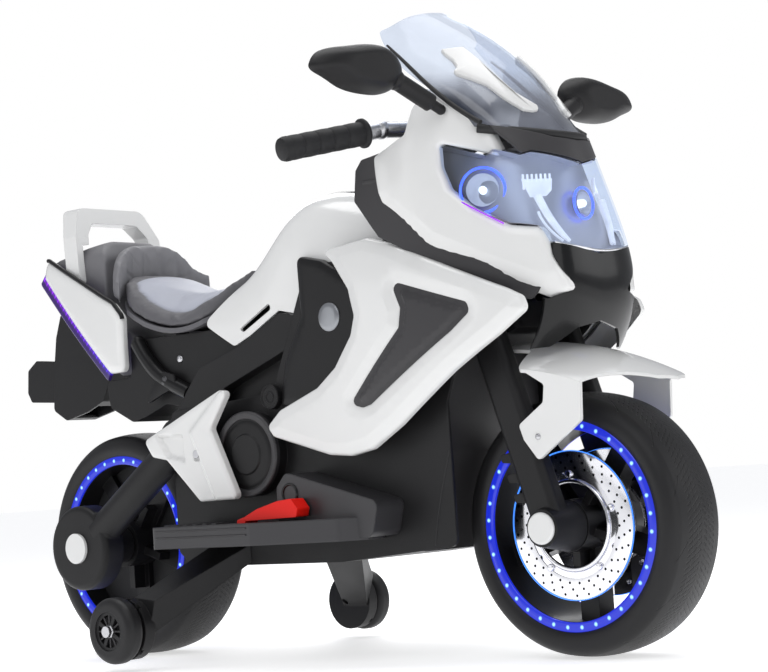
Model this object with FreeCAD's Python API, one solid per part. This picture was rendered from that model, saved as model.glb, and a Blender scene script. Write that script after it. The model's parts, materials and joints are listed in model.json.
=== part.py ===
import FreeCAD, Part
import math
import os

# Kids electric motorbike. Millimetres, +X forward, +Y to the rider's left, +Z up.
# The origin is on the floor under the middle of the bike's length.

V = FreeCAD.Vector

# Wheels and stance
wheel_radius = 150.0
wheelbase = 754.0
tyre_half_width = 48.0
bead_radius = 120.0
rim_radius = 116.0
rim_lip_radius = 108.0
rim_half_width = 41.0
led_thickness = 4.0
tread_thickness = 9.0
bead_width = 8.0
hub_radius = 30.0
hub_half_width = 46.0
spoke_count = 5
spoke_width = 26.0
spoke_half_depth = 14.0
disc_outer_radius = 84.0
disc_inner_radius = 52.0
disc_gap = 33.0
disc_thickness = 3.0
disc_hole_radius = 3.0
disc_hole_count = 15
axle_radius = 6.0
running_gap = 0.1
part_gap = 0.3

# Body stations are drawn between these axle places. Each one keeps its distance from the nearer axle
# when the wheelbase changes, and the middle of the body takes up the difference.
drawn_axles = (-336.0, 418.0)
rigid_ends = (-120.0, 190.0)
growth = wheelbase - (drawn_axles[1] - drawn_axles[0])


def along(x):
    """The place of a body station on a bike with this wheelbase."""
    low, high = rigid_ends
    share = min(max((x - low) / (high - low), 0), 1)
    return x + growth * (share - 0.5)


def spread(points):
    """An outline whose first coordinates are body stations."""
    return [(along(x), other) for x, other in points]


rear_axle_x = along(drawn_axles[0])
front_axle_x = along(drawn_axles[1])
front_reach = front_axle_x + wheel_radius

# Steering and fork, measured along the steering axis from the front axle
rake_deg = 18.5
fork_half_span = 84.0
leg_thickness = 26.0
leg_depth = 42.0
fork_boss_reach = 93.0
fork_boss_radius = 21.0
fork_boss_root_radius = 29.0
cap_radius = 18.0
cap_thickness = 4.0
yoke_height = 240.0
yoke_thickness = 25.0
yoke_half_depth = 30.0
stem_radius = 12.0
stem_rise = 69.0
head_radius = 24.0
head_bottom = 268.0
head_length = 160.0
bar_radius = 10.0
grip_radius = 14.5
grip_length = 112.0
clamp_half_width = 40.0
knuckle_margin = 1.5
bar_bend = (-28.0, 104.0, 8.0)
bar_end = (-70.0, 232.0, -6.0)
stem_top = head_bottom + head_length + stem_rise

# Chassis
chassis_half_width = 100.0
wall = 4.0
belly_height = 120.0
rear_wheel_gap = 20.0
front_wheel_gap = 24.0
tank_tip_height = 549.0
deck_height = 480.0
seat_block_half_width = 78.0
seat_block_top = 420.0
web_half_width = 30.0
rail_depth = 26.0
engine_cover = (-13.0, 257.0, 52.0, 18.0)
timing_cover = (23.0, 325.0, 15.0, 9.0)

# Panels
panel_thickness = 4.0
post_radius = 7.0
corner_radius = 8.0

# Stabiliser wheels
stabiliser_radius = 41.0
stabiliser_x = -151.0
stabiliser_inner_y = 214.0
stabiliser_width = 26.0
stabiliser_lift = 10.0
stabiliser_hub_radius = 24.0
stabiliser_axle_radius = 4.0

chassis_rear_x = rear_axle_x + wheel_radius + rear_wheel_gap
well_x = front_axle_x - wheel_radius - front_wheel_gap
rake = math.radians(rake_deg)


# Drawing helpers
def at_xz(a, b):
    return V(a, 0, b)


def at_xy(a, b):
    return V(a, b, 0)


def at_yz(a, b):
    return V(0, a, b)


def corner_arc(before, corner, after, radius):
    """The start, middle and end of the arc that rounds a corner."""
    back = before - corner
    ahead = after - corner
    half = back.getAngle(ahead) / 2
    reach = min(radius / math.tan(half), 0.45 * min(back.Length, ahead.Length))
    back.normalize()
    ahead.normalize()
    bisector = (back + ahead).normalize()
    middle = corner + bisector * (reach / math.cos(half) - reach * math.tan(half))
    return corner + back * reach, middle, corner + ahead * reach


def outline(points, radius, place):
    """A closed wire through the points with every corner rounded."""
    corners = [place(*p) for p in points]
    count = len(corners)
    if radius == 0:
        return Part.makePolygon(corners + corners[:1])
    after = corners[1:] + corners[:1]
    before = corners[-1:] + corners[:-1]
    arcs = [corner_arc(a, c, b, radius) for a, c, b in zip(before, corners, after)]
    edges = []
    for i, (start, middle, end) in enumerate(arcs):
        edges.append(Part.Arc(start, middle, end).toShape())
        edges.append(Part.LineSegment(end, arcs[(i + 1) % count][0]).toShape())
    return Part.Wire(edges)


def plate_xz(points, radius, y0, y1):
    face = Part.Face(outline(points, radius, at_xz))
    face.translate(V(0, y0, 0))
    return face.extrude(V(0, y1 - y0, 0))


def plate_xy(points, radius, z0, z1):
    face = Part.Face(outline(points, radius, at_xy))
    face.translate(V(0, 0, z0))
    return face.extrude(V(0, 0, z1 - z0))


def plate_yz(points, radius, x0, x1):
    face = Part.Face(outline(points, radius, at_yz))
    face.translate(V(x0, 0, 0))
    return face.extrude(V(x1 - x0, 0, 0))


def inset(points, distance, radius, y0, y1):
    """The same outline moved inwards by a distance, as a plate along Y."""
    face = Part.Face(outline(points, radius, at_xz)).makeOffset2D(-distance)
    face.translate(V(0, y0, 0))
    return face.extrude(V(0, y1 - y0, 0))


def cylinder_y(x, z, radius, y0, y1):
    return Part.makeCylinder(radius, y1 - y0, V(x, y0, z), V(0, 1, 0))


def rod(start, end, radius):
    return Part.makeCylinder(radius, (end - start).Length, start, end - start)


def box(x0, x1, y0, y1, z0, z1):
    return Part.makeBox(x1 - x0, y1 - y0, z1 - z0, V(x0, y0, z0))


def mirrored(points):
    """Half an outline, (y, z) or (y, x) from one side of the middle, closed by its mirror image."""
    return list(points) + [(-a, b) for a, b in reversed(points) if abs(a) > 1e-6]


def left_of(shape):
    return shape.mirror(V(0, 0, 0), V(0, 1, 0))


def joined(*shapes):
    """One solid from shapes that touch."""
    first = shapes[0]
    if len(shapes) > 1:
        first = first.multiFuse(list(shapes[1:])).removeSplitter()
    return first


def skin(rows):
    """A smooth face through a grid of points."""
    surface = Part.BSplineSurface()
    surface.interpolate(rows)
    return surface.toShape()


def side_skin(xs, zs, half_widths):
    """The right-hand face whose distance from the middle plane is given at each height and station."""
    return skin([[V(x, -y, z) for x, y in zip(xs, row)] for z, row in zip(zs, half_widths)])


def side_panel(points, radius, face, thickness, posts=(), seat=chassis_half_width):
    """A right-hand panel: the face's stretch inside the outline, with posts back to its seat."""
    far = 4 * chassis_half_width
    panel = plate_xz(points, radius, -far, 0).common(face.extrude(V(0, thickness, 0)))
    behind = face.extrude(V(0, far, 0))
    pins = [cylinder_y(x, z, post_radius, -far, -seat).common(behind) for x, z in posts]
    return joined(panel, *pins)


def export(name, *shapes):
    solids = [s for shape in shapes for s in shape.Solids]
    Part.makeCompound(solids).exportStep(f"parts/{name}.step")
    volume = sum(s.Volume for s in solids) / 1000
    valid = all(s.isValid() for s in solids)
    print(f"{name}: {len(solids)} solids, {volume:.1f} cm3, valid {valid}")


# Wheels, drawn about the Y axis at the origin
def wheel_tyre():
    shoulder = wheel_radius - 6
    flank = (bead_radius + shoulder) / 2
    bead_y = rim_half_width + led_thickness
    tread_y = tyre_half_width - 8
    low, high = V(bead_radius, -bead_y, 0), V(bead_radius, bead_y, 0)
    low_edge, high_edge = V(shoulder, -tread_y, 0), V(shoulder, tread_y, 0)
    edges = [
        Part.Arc(low, V(flank, -tyre_half_width, 0), low_edge).toShape(),
        Part.Arc(low_edge, V(wheel_radius, 0, 0), high_edge).toShape(),
        Part.Arc(high_edge, V(flank, tyre_half_width, 0), high).toShape(),
        Part.LineSegment(high, V(bead_radius, rim_half_width, 0)).toShape(),
        Part.LineSegment(V(bead_radius, rim_half_width, 0), V(rim_radius, rim_half_width, 0)).toShape(),
        Part.LineSegment(V(rim_radius, rim_half_width, 0), V(rim_radius, -rim_half_width, 0)).toShape(),
        Part.LineSegment(V(rim_radius, -rim_half_width, 0), V(bead_radius, -rim_half_width, 0))
        .toShape(),
        Part.LineSegment(V(bead_radius, -rim_half_width, 0), low).toShape(),
    ]
    tyre = Part.Face(Part.Wire(edges)).revolve(V(0, 0, 0), V(0, 1, 0), 360)
    room_y = rim_half_width - bead_width
    return tyre.cut(ring_y(wheel_radius - tread_thickness, rim_radius, -room_y, room_y))


def ring_y(outer, inner, y0, y1):
    return cylinder_y(0, 0, outer, y0, y1).cut(cylinder_y(0, 0, inner, y0, y1))


def wheel_rim():
    barrel = ring_y(rim_radius, rim_lip_radius, -rim_half_width, rim_half_width)
    hub = cylinder_y(0, 0, hub_radius, -hub_half_width, hub_half_width)
    half = spoke_width / 2
    spoke = box(hub_radius - 4, rim_lip_radius + 2, -spoke_half_depth, spoke_half_depth, -half, half)
    pieces = [barrel, hub]
    for i in range(spoke_count):
        turned = spoke.copy()
        turned.rotate(V(0, 0, 0), V(0, 1, 0), 360 / spoke_count * i + 18)
        pieces.append(turned)
    carrier_y = disc_gap
    for i in range(spoke_count):
        peg = box(hub_radius - 4, disc_inner_radius + 8, -carrier_y, carrier_y, -5, 5)
        peg.rotate(V(0, 0, 0), V(0, 1, 0), 360 / spoke_count * i + 18)
        pieces.append(peg)
    bore = cylinder_y(0, 0, axle_radius + running_gap, -hub_half_width, hub_half_width)
    return joined(*pieces).cut(bore)


def led_rings():
    face = -rim_half_width - led_thickness
    right = ring_y(bead_radius - part_gap, rim_lip_radius, face, -rim_half_width)
    return [right, left_of(right)]


def brake_discs():
    right = ring_y(disc_outer_radius, disc_inner_radius, -disc_gap - disc_thickness, -disc_gap)
    hole_circle = (disc_outer_radius + disc_inner_radius) / 2
    holes = []
    for i in range(disc_hole_count):
        turn = 2 * math.pi * i / disc_hole_count
        swing = hole_circle + 8 * math.sin(3 * turn)
        hole_at = (swing * math.cos(turn), swing * math.sin(turn))
        holes.append(cylinder_y(*hole_at, disc_hole_radius, -disc_gap - disc_thickness, -disc_gap))
    right = right.cut(Part.makeCompound(holes))
    return [right, left_of(right)]


def moved(shapes, x, z):
    for shape in shapes:
        shape.translate(V(x, 0, z))
    return shapes


def build_wheels():
    for name, x in (("front", front_axle_x), ("rear", rear_axle_x)):
        export(f"{name}_tyre", *moved([wheel_tyre()], x, wheel_radius))
        export(f"{name}_rim", *moved([wheel_rim()], x, wheel_radius))
        export(f"{name}_led_rings", *moved(led_rings(), x, wheel_radius))
    export("front_brake_discs", *moved(brake_discs(), front_axle_x, wheel_radius))


# Steering: drawn upright with the steering axis on Z and the axle at the origin, then leaned back
def leaned(*shapes):
    for shape in shapes:
        shape.rotate(V(0, 0, 0), V(0, 1, 0), -rake_deg)
        shape.translate(V(front_axle_x, 0, wheel_radius))
    return shapes


def fork_leg():
    inner = fork_half_span - leg_thickness
    half = leg_depth / 2
    ring = [(-half, -fork_half_span), (half, -fork_half_span), (half, -inner), (-half, -inner)]
    leg = plate_xy(ring, 9, 0, yoke_height)
    boss = Part.makeCone(fork_boss_radius, fork_boss_root_radius, fork_boss_reach - hub_half_width - 1,
                         V(0, -fork_boss_reach, 0), V(0, 1, 0))
    tabs = []
    for i in range(3):
        height = 42 + 24 * i
        tip, root = -half - 12, -half + 4
        tab = [(tip, height), (root, height - 7), (root, height + 7), (tip, height + 9)]
        tabs.append(plate_xz(tab, 3, -fork_half_span + 4, -inner - 4))
    leg = joined(leg, boss, *tabs)
    return leg.cut(cylinder_y(0, 0, axle_radius, -fork_boss_reach, 0))


def steering_stem():
    inner = fork_half_span - leg_thickness
    half = yoke_half_depth
    span = fork_half_span
    plan = [(-half, -span), (half, -span), (half, span), (-half, span)]
    yoke = plate_xy(plan, 12, yoke_height, yoke_height + yoke_thickness)
    tongue_plan = [(-half, -inner + 8), (half, -inner + 8), (half, inner - 8), (-half, inner - 8)]
    tongue = plate_xy(tongue_plan, 8, yoke_height - 8, yoke_height)
    stem = Part.makeCylinder(stem_radius, stem_top - yoke_height, V(0, 0, yoke_height))
    wide = clamp_half_width - bar_radius - 2 * knuckle_margin
    clamp = plate_xy([(-22, -wide), (22, -wide), (22, wide), (-22, wide)], 8, stem_top - 20, stem_top)
    groove = cylinder_y(0, stem_top + bar_radius / 2, bar_radius + running_gap, -wide, wide)
    return joined(yoke, tongue, stem, clamp).cut(groove)


def handlebar_line():
    """The bar's points on the right: the end of its straight middle, its bend and its end."""
    height = stem_top + bar_radius / 2
    middle = V(0, -clamp_half_width, height)
    bend = V(bar_bend[0], -bar_bend[1], height + bar_bend[2])
    end = V(bar_end[0], -bar_end[1], height + bar_end[2])
    return middle, bend, end


def handlebar():
    """Straight tubes joined by a round knuckle at each bend."""
    middle, bend, end = handlebar_line()
    across = rod(middle, V(middle.x, -middle.y, middle.z), bar_radius)
    right = [rod(middle, bend, bar_radius), rod(bend, end, bar_radius)]
    right += [Part.makeSphere(bar_radius + knuckle_margin, p) for p in (middle, bend)]
    return joined(across, *right, *[left_of(s) for s in right])


def grips():
    middle, bend, end = handlebar_line()
    along = (end - bend).normalize()
    start = end - along * grip_length
    body = rod(start, end + along * 6, grip_radius)
    flange = rod(start, start + along * 5, grip_radius + 3)
    right = joined(body, flange).cut(rod(start, end, bar_radius + part_gap))
    return [right, left_of(right)]


def front_axle_parts():
    reach = fork_boss_reach
    axle = cylinder_y(0, 0, axle_radius - running_gap, -reach, reach)
    cap = cylinder_y(0, 0, cap_radius, -reach - cap_thickness, -reach)
    outer_edge = [e for e in cap.Edges if e.BoundBox.YMax < -reach - cap_thickness + 0.01]
    cap = cap.makeFillet(2.5, outer_edge)
    return axle, [cap, left_of(cap)]


# The fender's arch and its two stays, in the bike's own frame around the front axle
def front_fender():
    ax, az = front_axle_x, wheel_radius
    stay_y = fork_half_span + part_gap
    xs = [ax - 90, ax - 20, ax + 40, ax + 90, ax + 150]
    crest = [az + 212, az + 209, az + 196, az + 178, az + 148]
    ys = [-96, -70, -35, 0, 35, 70, 96]
    drop = [40, 17, 4, 0, 4, 17, 40]
    arch = skin([[V(x, y, z - d) for x, z in zip(xs, crest)] for y, d in zip(ys, drop)])
    half_plan = [(0, ax + 132), (26, ax + 124), (62, ax + 86), (stay_y + panel_thickness, ax + 60),
                 (stay_y + panel_thickness, ax - 22), (54, ax - 26), (50, ax - 70)]
    plan = [(x, y) for y, x in mirrored(half_plan)]
    top = plate_xy(plan, 6, 0, 3 * wheel_radius).common(arch.extrude(V(0, 0, -panel_thickness)))
    stay = [(ax + 64, az + 172), (ax + 61, az + 116), (ax - 1, az + 75), (ax - 20, az + 99),
            (ax - 26, az + 116), (ax + 10, az + 139), (ax + 13, az + 159), (ax - 22, az + 180),
            (ax - 22, az + 200)]
    under = arch.extrude(V(0, 0, -2 * wheel_radius))
    right = plate_xz(stay, 5, -stay_y - panel_thickness, -stay_y).common(under)
    return joined(top, right, left_of(right))


def build_steering():
    leg = fork_leg()
    axle, caps = front_axle_parts()
    export("fork_leg_right", *leaned(leg))
    export("fork_leg_left", left_of(leg))
    export("steering_stem", *leaned(steering_stem()))
    export("handlebar", *leaned(handlebar()))
    export("grips", *leaned(*grips()))
    export("front_axle", *leaned(axle))
    export("front_axle_caps", *leaned(*caps))
    export("front_fender", front_fender())


# Chassis: two moulded halves that meet on the middle plane
chassis_side = [(chassis_rear_x, belly_height + 20), (chassis_rear_x + 24, belly_height),
                (along(120), belly_height), (well_x + 56, belly_height + 14), (well_x + 56, 300),
                (well_x + 84, deck_height - 108), (well_x + 46, deck_height - 40),
                (well_x - 4, deck_height), (along(90), deck_height),
                (along(58), deck_height - 68), (along(20), 330),
                (chassis_rear_x, 320)]
seat_block = spread([(-314, 371), (-308, 334), (-264, 312), (-238, 318), (-196, 332), (-120, 316),
                     (40, 316), (66, 404), (40, seat_block_top), (-262, seat_block_top),
                     (-262, 371)])
frame_rail = spread([(72, 420), (38, 428), (-41, 392), (-112, 372), (-158, 318), (-150, 272),
                     (-112, 282), (-67, 343), (52, 384)])
head_web = [(along(120), 440), (well_x + 6, 440), (well_x + 30, 470), (well_x + 28, 556),
            (well_x - 24, deck_height + 57), (along(150), deck_height + 30)]
strut_line = spread([(-240, 416), (-222, 388), (-194, 364), (-146, 342)])
strut_radius = 8.0
strut_y = seat_block_half_width + 4
seat_posts = [(along(x), y) for x in (-200, -120) for y in (-40, 40)]
seat_post_radius = 9.0


def steering_line(distance):
    return V(front_axle_x - distance * math.sin(rake), 0, wheel_radius + distance * math.cos(rake))


def seat_struts():
    """The bent tube under the right side of the seat, with a round knuckle at each bend."""
    places = [V(x, -strut_y, z) for x, z in strut_line]
    tubes = [rod(a, b, strut_radius) for a, b in zip(places, places[1:])]
    return tubes + [Part.makeSphere(strut_radius + knuckle_margin, p) for p in places]


def chassis_block():
    half = chassis_half_width
    lower = plate_xz(chassis_side, 10, -half, half)
    seat = plate_xz(seat_block, 10, -seat_block_half_width, seat_block_half_width)
    rail = plate_xz(frame_rail, 6, -half + 2, -half + 2 + rail_depth)
    web = plate_xz(head_web, 6, -web_half_width, web_half_width)
    head = rod(steering_line(head_bottom), steering_line(head_bottom + head_length), head_radius)
    covers = []
    for x, z, radius, height in (engine_cover, timing_cover):
        boss = cylinder_y(along(x), z, radius, -half - height, half + height)
        covers.append(boss)
    struts = seat_struts()
    under_seat = rim_skin(seat_rim_height - wall).extrude(V(0, 0, -200))
    for x, y in seat_posts:
        post = Part.makeCylinder(seat_post_radius, 100, V(x, y, seat_block_top - wall))
        covers.append(post.common(under_seat))
    struts = struts + [left_of(s) for s in struts]
    outer = joined(lower, seat, rail, left_of(rail), web, head, *covers, *struts)
    inner_half = half - wall
    cavity = inset(chassis_side, wall, 8, -inner_half, inner_half)
    seat_inner = seat_block_half_width - wall
    seat_cavity = inset(seat_block, wall, 8, -seat_inner, seat_inner)
    keep_web = plate_xz(head_web, 6, -web_half_width, web_half_width)
    far = well_x + 400
    well = box(well_x, far, -inner_half, inner_half, 0, 425)
    swing = box(well_x + 20, far, -inner_half, inner_half, 0, deck_height - 30)
    outer = outer.cut(cavity.fuse(seat_cavity).cut(keep_web)).cut(well).cut(swing)
    outer = joined(outer, head.common(box(0, far, -half, half, steering_line(head_bottom).z - 12, 700)))
    low, high = steering_line(head_bottom - 60), steering_line(head_bottom + head_length + 60)
    return outer.cut(rod(low, high, stem_radius + running_gap))


def build_chassis():
    block = chassis_block()
    far = 1000
    right = block.common(box(-far, far, -far, 0, 0, far))
    left = block.common(box(-far, far, 0, far, 0, far))
    export("chassis_right", right)
    export("chassis_left", left)


# White and black side panels
nose_xs = [along(x) for x in (190, 250, 310, 360, 410, 465)]
nose_zs = [390, 450, 510, 570, 630, 680]
nose_half_widths = [
    [124, 124, 121, 114, 103, 84],
    [125, 124, 119, 109, 93, 62],
    [125, 123, 114, 102, 83, 46],
    [123, 119, 111, 89, 58, 12],
    [117, 113, 104, 84, 50, 2],
    [110, 104, 93, 70, 35, -10],
]
nose_outline = spread([(386, 571), (315, 596), (317, 567), (328, 541), (358, 515), (401, 491),
                       (431, 486), (437, 479), (459, 414), (440, 404), (296, 473), (237, 525),
                       (223, 593), (271, 612), (279, 642), (295, 665), (368, 611)])
fairing_xs = [along(x) for x in (20, 110, 200, 290, 380, 440)]
fairing_zs = [235, 300, 365, 430, 505]
fairing_half_widths = [
    [134, 141, 143, 141, 134, 126],
    [134, 138, 143, 142, 134, 125],
    [130, 135, 142, 142, 133, 122],
    [120, 127, 134, 134, 126, 116],
    [108, 112, 115, 116, 112, 106],
]
fairing_outline = spread([(125, 493), (202, 500), (238, 490), (407, 419), (428, 408), (434, 393),
                          (399, 368), (339, 332), (258, 276), (213, 251), (178, 245), (143, 248),
                          (46, 275), (35, 288), (59, 307), (127, 329), (160, 351), (187, 386),
                          (192, 408), (179, 441), (147, 477)])
fairing_posts = spread([(120, 290), (200, 270), (170, 470), (250, 470)])
insert_outline = spread([(251, 442), (359, 407), (363, 397), (339, 378), (217, 304), (204, 301),
                         (186, 306), (266, 387), (268, 410)])
insert_recess = 5.0
knee_outline = spread([(76, 494), (118, 484), (196, 440), (204, 400), (176, 340), (80, 306),
                       (35, 312), (48, 364), (81, 419)])
tail_xs = [along(x) for x in (-460, -390, -320, -250)]
tail_zs = [365, 430, 500, 560]
tail_half_widths = [
    [72, 80, 88, 92],
    [74, 84, 92, 96],
    [75, 84, 92, 96],
    [72, 80, 88, 92],
]
tail_outline = spread([(-432, 549), (-276, 471), (-258, 452), (-262, 379), (-298, 379), (-440, 522)])
tail_posts = spread([(-400, 515), (-300, 450), (-285, 400)])
tail_strip = spread([(-436, 530), (-292, 384), (-304, 370), (-450, 516)])
heel_outline = spread([(-42, 339), (-24, 336), (-57, 292), (-15, 203), (-87, 202), (-145, 257),
                       (-171, 262), (-186, 284)])
heel_posts = spread([(-62, 306), (-68, 226), (-110, 262)])
heel_y = 134.0
strip_depth = 6.0


def side_fairing():
    face = side_skin(fairing_xs, fairing_zs, fairing_half_widths)
    body = side_panel(fairing_outline, corner_radius, face, panel_thickness, fairing_posts)
    return body.cut(plate_xz(insert_outline, 5, -400, -chassis_half_width - 8))


def fairing_insert():
    face = side_skin(fairing_xs, fairing_zs, fairing_half_widths)
    face.translate(V(0, insert_recess, 0))
    return inset_panel(insert_outline, face)


def inset_panel(points, face):
    """A panel dropped into the outline of another, a part gap smaller, with a flange behind it."""
    window = Part.Face(outline(points, 5, at_xz))
    fill = window.makeOffset2D(-part_gap)
    flange = window.makeOffset2D(5)
    far = 4 * chassis_half_width
    front = fill.extrude(V(0, -far, 0)).common(face.extrude(V(0, panel_thickness, 0)))
    face_behind = face.copy()
    face_behind.translate(V(0, panel_thickness - insert_recess + part_gap + 0.7, 0))
    back = flange.extrude(V(0, -far, 0)).common(face_behind.extrude(V(0, 3, 0)))
    return joined(front, back)


def knee_panel():
    xs = [along(x) for x in (20, 80, 140, 210)]
    zs = [300, 370, 440, 500]
    widths = [[106, 107, 107, 107], [106, 109, 109, 107], [105, 108, 108, 106], [103, 105, 105, 104]]
    face = side_skin(xs, zs, widths)
    far = 4 * chassis_half_width
    body = plate_xz(knee_outline, corner_radius, -far, -chassis_half_width)
    body = body.common(face.extrude(V(0, far, 0)))
    x, z, radius, height = timing_cover
    return body.cut(cylinder_y(along(x), z, radius + part_gap, -far, 0))


def nose_fairing():
    face = side_skin(nose_xs, nose_zs, nose_half_widths)
    return side_panel(nose_outline, 5, face, panel_thickness)


def tail_panel():
    face = side_skin(tail_xs, tail_zs, tail_half_widths)
    return side_panel(tail_outline, 10, face, panel_thickness, tail_posts, tail_core_half_width)


def tail_light_strip():
    face = side_skin(tail_xs, tail_zs, tail_half_widths)
    face.translate(V(0, panel_thickness + part_gap, 0))
    strip = side_panel(tail_strip, 2, face, strip_depth)
    for x, z in tail_posts:
        strip = strip.cut(cylinder_y(x, z, post_radius + part_gap, -400, 0))
    return strip


def heel_plate():
    plate = plate_xz(heel_outline, 6, -heel_y, -heel_y + panel_thickness)
    posts = [cylinder_y(x, z, post_radius, -heel_y, -chassis_half_width) for x, z in heel_posts]
    return joined(plate, *posts)


def build_panels():
    sides = (
        ("side_fairing", side_fairing()),
        ("nose_fairing", nose_fairing()),
        ("tail_panel", tail_panel()),
    )
    for name, shape in sides:
        export(f"{name}_right", shape)
        export(f"{name}_left", left_of(shape))
    for name, shape in (("fairing_inserts", fairing_insert()), ("knee_panels", knee_panel()),
                        ("tail_light_strips", tail_light_strip())):
        export(name, shape, left_of(shape))


# Nose: shell, headlight, chin, dashboard and windshield
lens_ys = [-118, -98, -74, 0, 74, 98, 118]
lens_zs = [340, 412, 470, 525, 612]
lens_xs = [
    [322, 384, 416, 431, 416, 384, 322],
    [344, 408, 450, 461, 450, 408, 344],
    [314, 390, 446, 458, 446, 390, 314],
    [296, 366, 427, 450, 427, 366, 296],
    [292, 336, 388, 431, 388, 336, 292],
]
lens_half = [(0, 560), (60, 574), (70, 571), (111, 597), (109, 547), (103, 520), (92, 493),
             (78, 487), (73, 468), (0, 457)]
chin_half = [(0, 455), (72, 466), (78, 440), (84, 408), (83, 350), (66, 351), (38, 371), (0, 379)]
cowl_top = 595.0
cowl_dip = 7.0
cowl_half = [(0, cowl_top - cowl_dip), (34, cowl_top - 4), (60, 600), (82, 609), (69, 573),
             (60, 576), (0, 562)]
housing_half = [(0, 557), (58, 570), (70, 568), (97, 584), (99, 548), (95, 524), (84, 498),
                (70, 492), (66, 472), (0, 461)]
hollow_half = [(0, 552), (58, 565), (70, 563), (92, 576), (94, 548), (90, 527), (80, 503),
               (66, 496), (62, 477), (0, 466)]
lens_thickness = 3.0
lens_setback = 2.0
housing_depth = 34.0
lamp_reach = 20.0
lamp_places = [(330.0, -82.0, 534.0, 24.0), (402.0, 0.0, 514.0, 22.0)]
shadow_start = 58.0
shell_top = 592.0
shell_outline = spread([(288, 632), (274, 602), (204, shell_top), (196, 580), (194, 543),
                        (230, 497), (296, 462), (420, 404), (436, 424), (330, 478), (262, 528),
                        (250, 580), (300, 606), (306, 632)])
shell_thickness = 3.0
bridge_drop = 30.0


def front_skin(back):
    face = skin([[V(along(x), y, z) for y, x in zip(lens_ys, row)] for z, row in zip(lens_zs, lens_xs)])
    face.translate(V(-back, 0, 0))
    return face


def front_panel(half, back, thickness):
    """A front piece of the nose: the front face's stretch inside a mirrored outline."""
    prism = plate_yz(mirrored(half), 0, along(200), front_reach)
    return prism.common(front_skin(back).extrude(V(-thickness, 0, 0)))


def nose_shadow():
    """Everything behind the white nose panels as seen from the side, with a gap all round."""
    grown = Part.Face(outline(nose_outline, 5, at_xz)).makeOffset2D(2 * part_gap)
    grown.translate(V(0, -shadow_start, 0))
    right = grown.extrude(V(0, -2 * chassis_half_width, 0))
    return Part.makeCompound([right, left_of(right)])


def headlight_housing():
    """A tray behind the lens with lamp bowls standing on its back wall."""
    front = lens_setback + lens_thickness + 3 * part_gap
    behind = front_skin(front).extrude(V(-housing_depth, 0, 0))
    tray = front_panel(housing_half, front, housing_depth)
    hollow = front_panel(hollow_half, front, housing_depth - wall)
    bowls = []
    for x, y, z, radius in lamp_places:
        right = Part.makeCylinder(radius, lamp_reach, V(along(x), y, z), V(1, 0, 0))
        cup = Part.makeSphere(radius - 2, V(along(x) + lamp_reach + 2, y, z))
        bowl = right.cut(cup).common(behind)
        bowls.append(bowl)
        if y:
            bowls.append(left_of(bowl))
    return joined(largest(tray.cut(hollow)), *bowls)


def build_nose():
    shadow = nose_shadow()
    lens = front_panel(lens_half, lens_setback, lens_thickness).cut(shadow)
    chin = front_panel(chin_half, lens_setback, panel_thickness).cut(shadow)
    export("headlight_lens", largest(lens))
    export("chin_panel", largest(chin))
    export("headlight_housing", headlight_housing())


def largest(shape):
    return max(shape.Solids, key=lambda s: s.Volume)


def nose_shell():
    face = side_skin(nose_xs, nose_zs, nose_half_widths)
    face.translate(V(0, panel_thickness + part_gap, 0))
    right = side_panel(shell_outline, 5, face, shell_thickness)
    bridge_plan = spread([(206, -117), (286, -109), (286, 109), (206, 117)])
    bridge = plate_xy(bridge_plan, 1, shell_top - bridge_drop, shell_top - bridge_drop + wall)
    head_top = head_bottom + head_length
    collar = rod(steering_line(head_top - 20), steering_line(head_top + 60), head_radius + 2)
    return joined(bridge.cut(collar), right, left_of(right))


# The windshield's face, from its lower tip to its upper edge, across its half width
shield_rows = [
    [(432, 0, 598), (421, 30, 600), (397, 60, 604), (358, 86, 612)],
    [(394, 0, 642), (386, 33, 643), (366, 66, 645), (326, 94, 648)],
    [(348, 0, 696), (341, 34, 696), (321, 68, 693), (276, 98, 686)],
    [(300, 0, 739), (294, 33, 738), (276, 66, 731), (241, 95, 722)],
    [(256, 0, 770), (252, 31, 768), (243, 62, 760), (226, 88, 745)],
]
shield_thickness = 3.0
shield_lean = V(0.69, 0, 0.72)
trim_height = 5.0
trim_plan = spread([(297, -75), (304, -67), (319, -52), (339, -48), (375, -34), (406, -23),
                    (404, -40), (395, -49), (365, -70), (331, -82), (321, -80), (325, -76),
                    (313, -74)])
dash_rise = 1.0
dash_height = cowl_top + dash_rise


def shield_face():
    rows = []
    for row in shield_rows:
        points = [V(along(x), -y, z) for x, y, z in reversed(row)]
        rows.append(points + [V(along(x), y, z) for x, y, z in row[1:]])
    return skin(rows)


def windshield():
    return shield_face().extrude(shield_lean * -shield_thickness)


def windshield_room():
    """The windshield's space with a gap on both of its faces."""
    face = shield_face()
    face.translate(shield_lean * part_gap)
    return face.extrude(shield_lean * -(shield_thickness + 2 * part_gap))


def windshield_trim():
    face = shield_face()
    face.translate(shield_lean * part_gap)
    column = plate_xy(trim_plan, 3, dash_height - 100, dash_height + 200)
    return column.common(face.extrude(shield_lean * trim_height))


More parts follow.
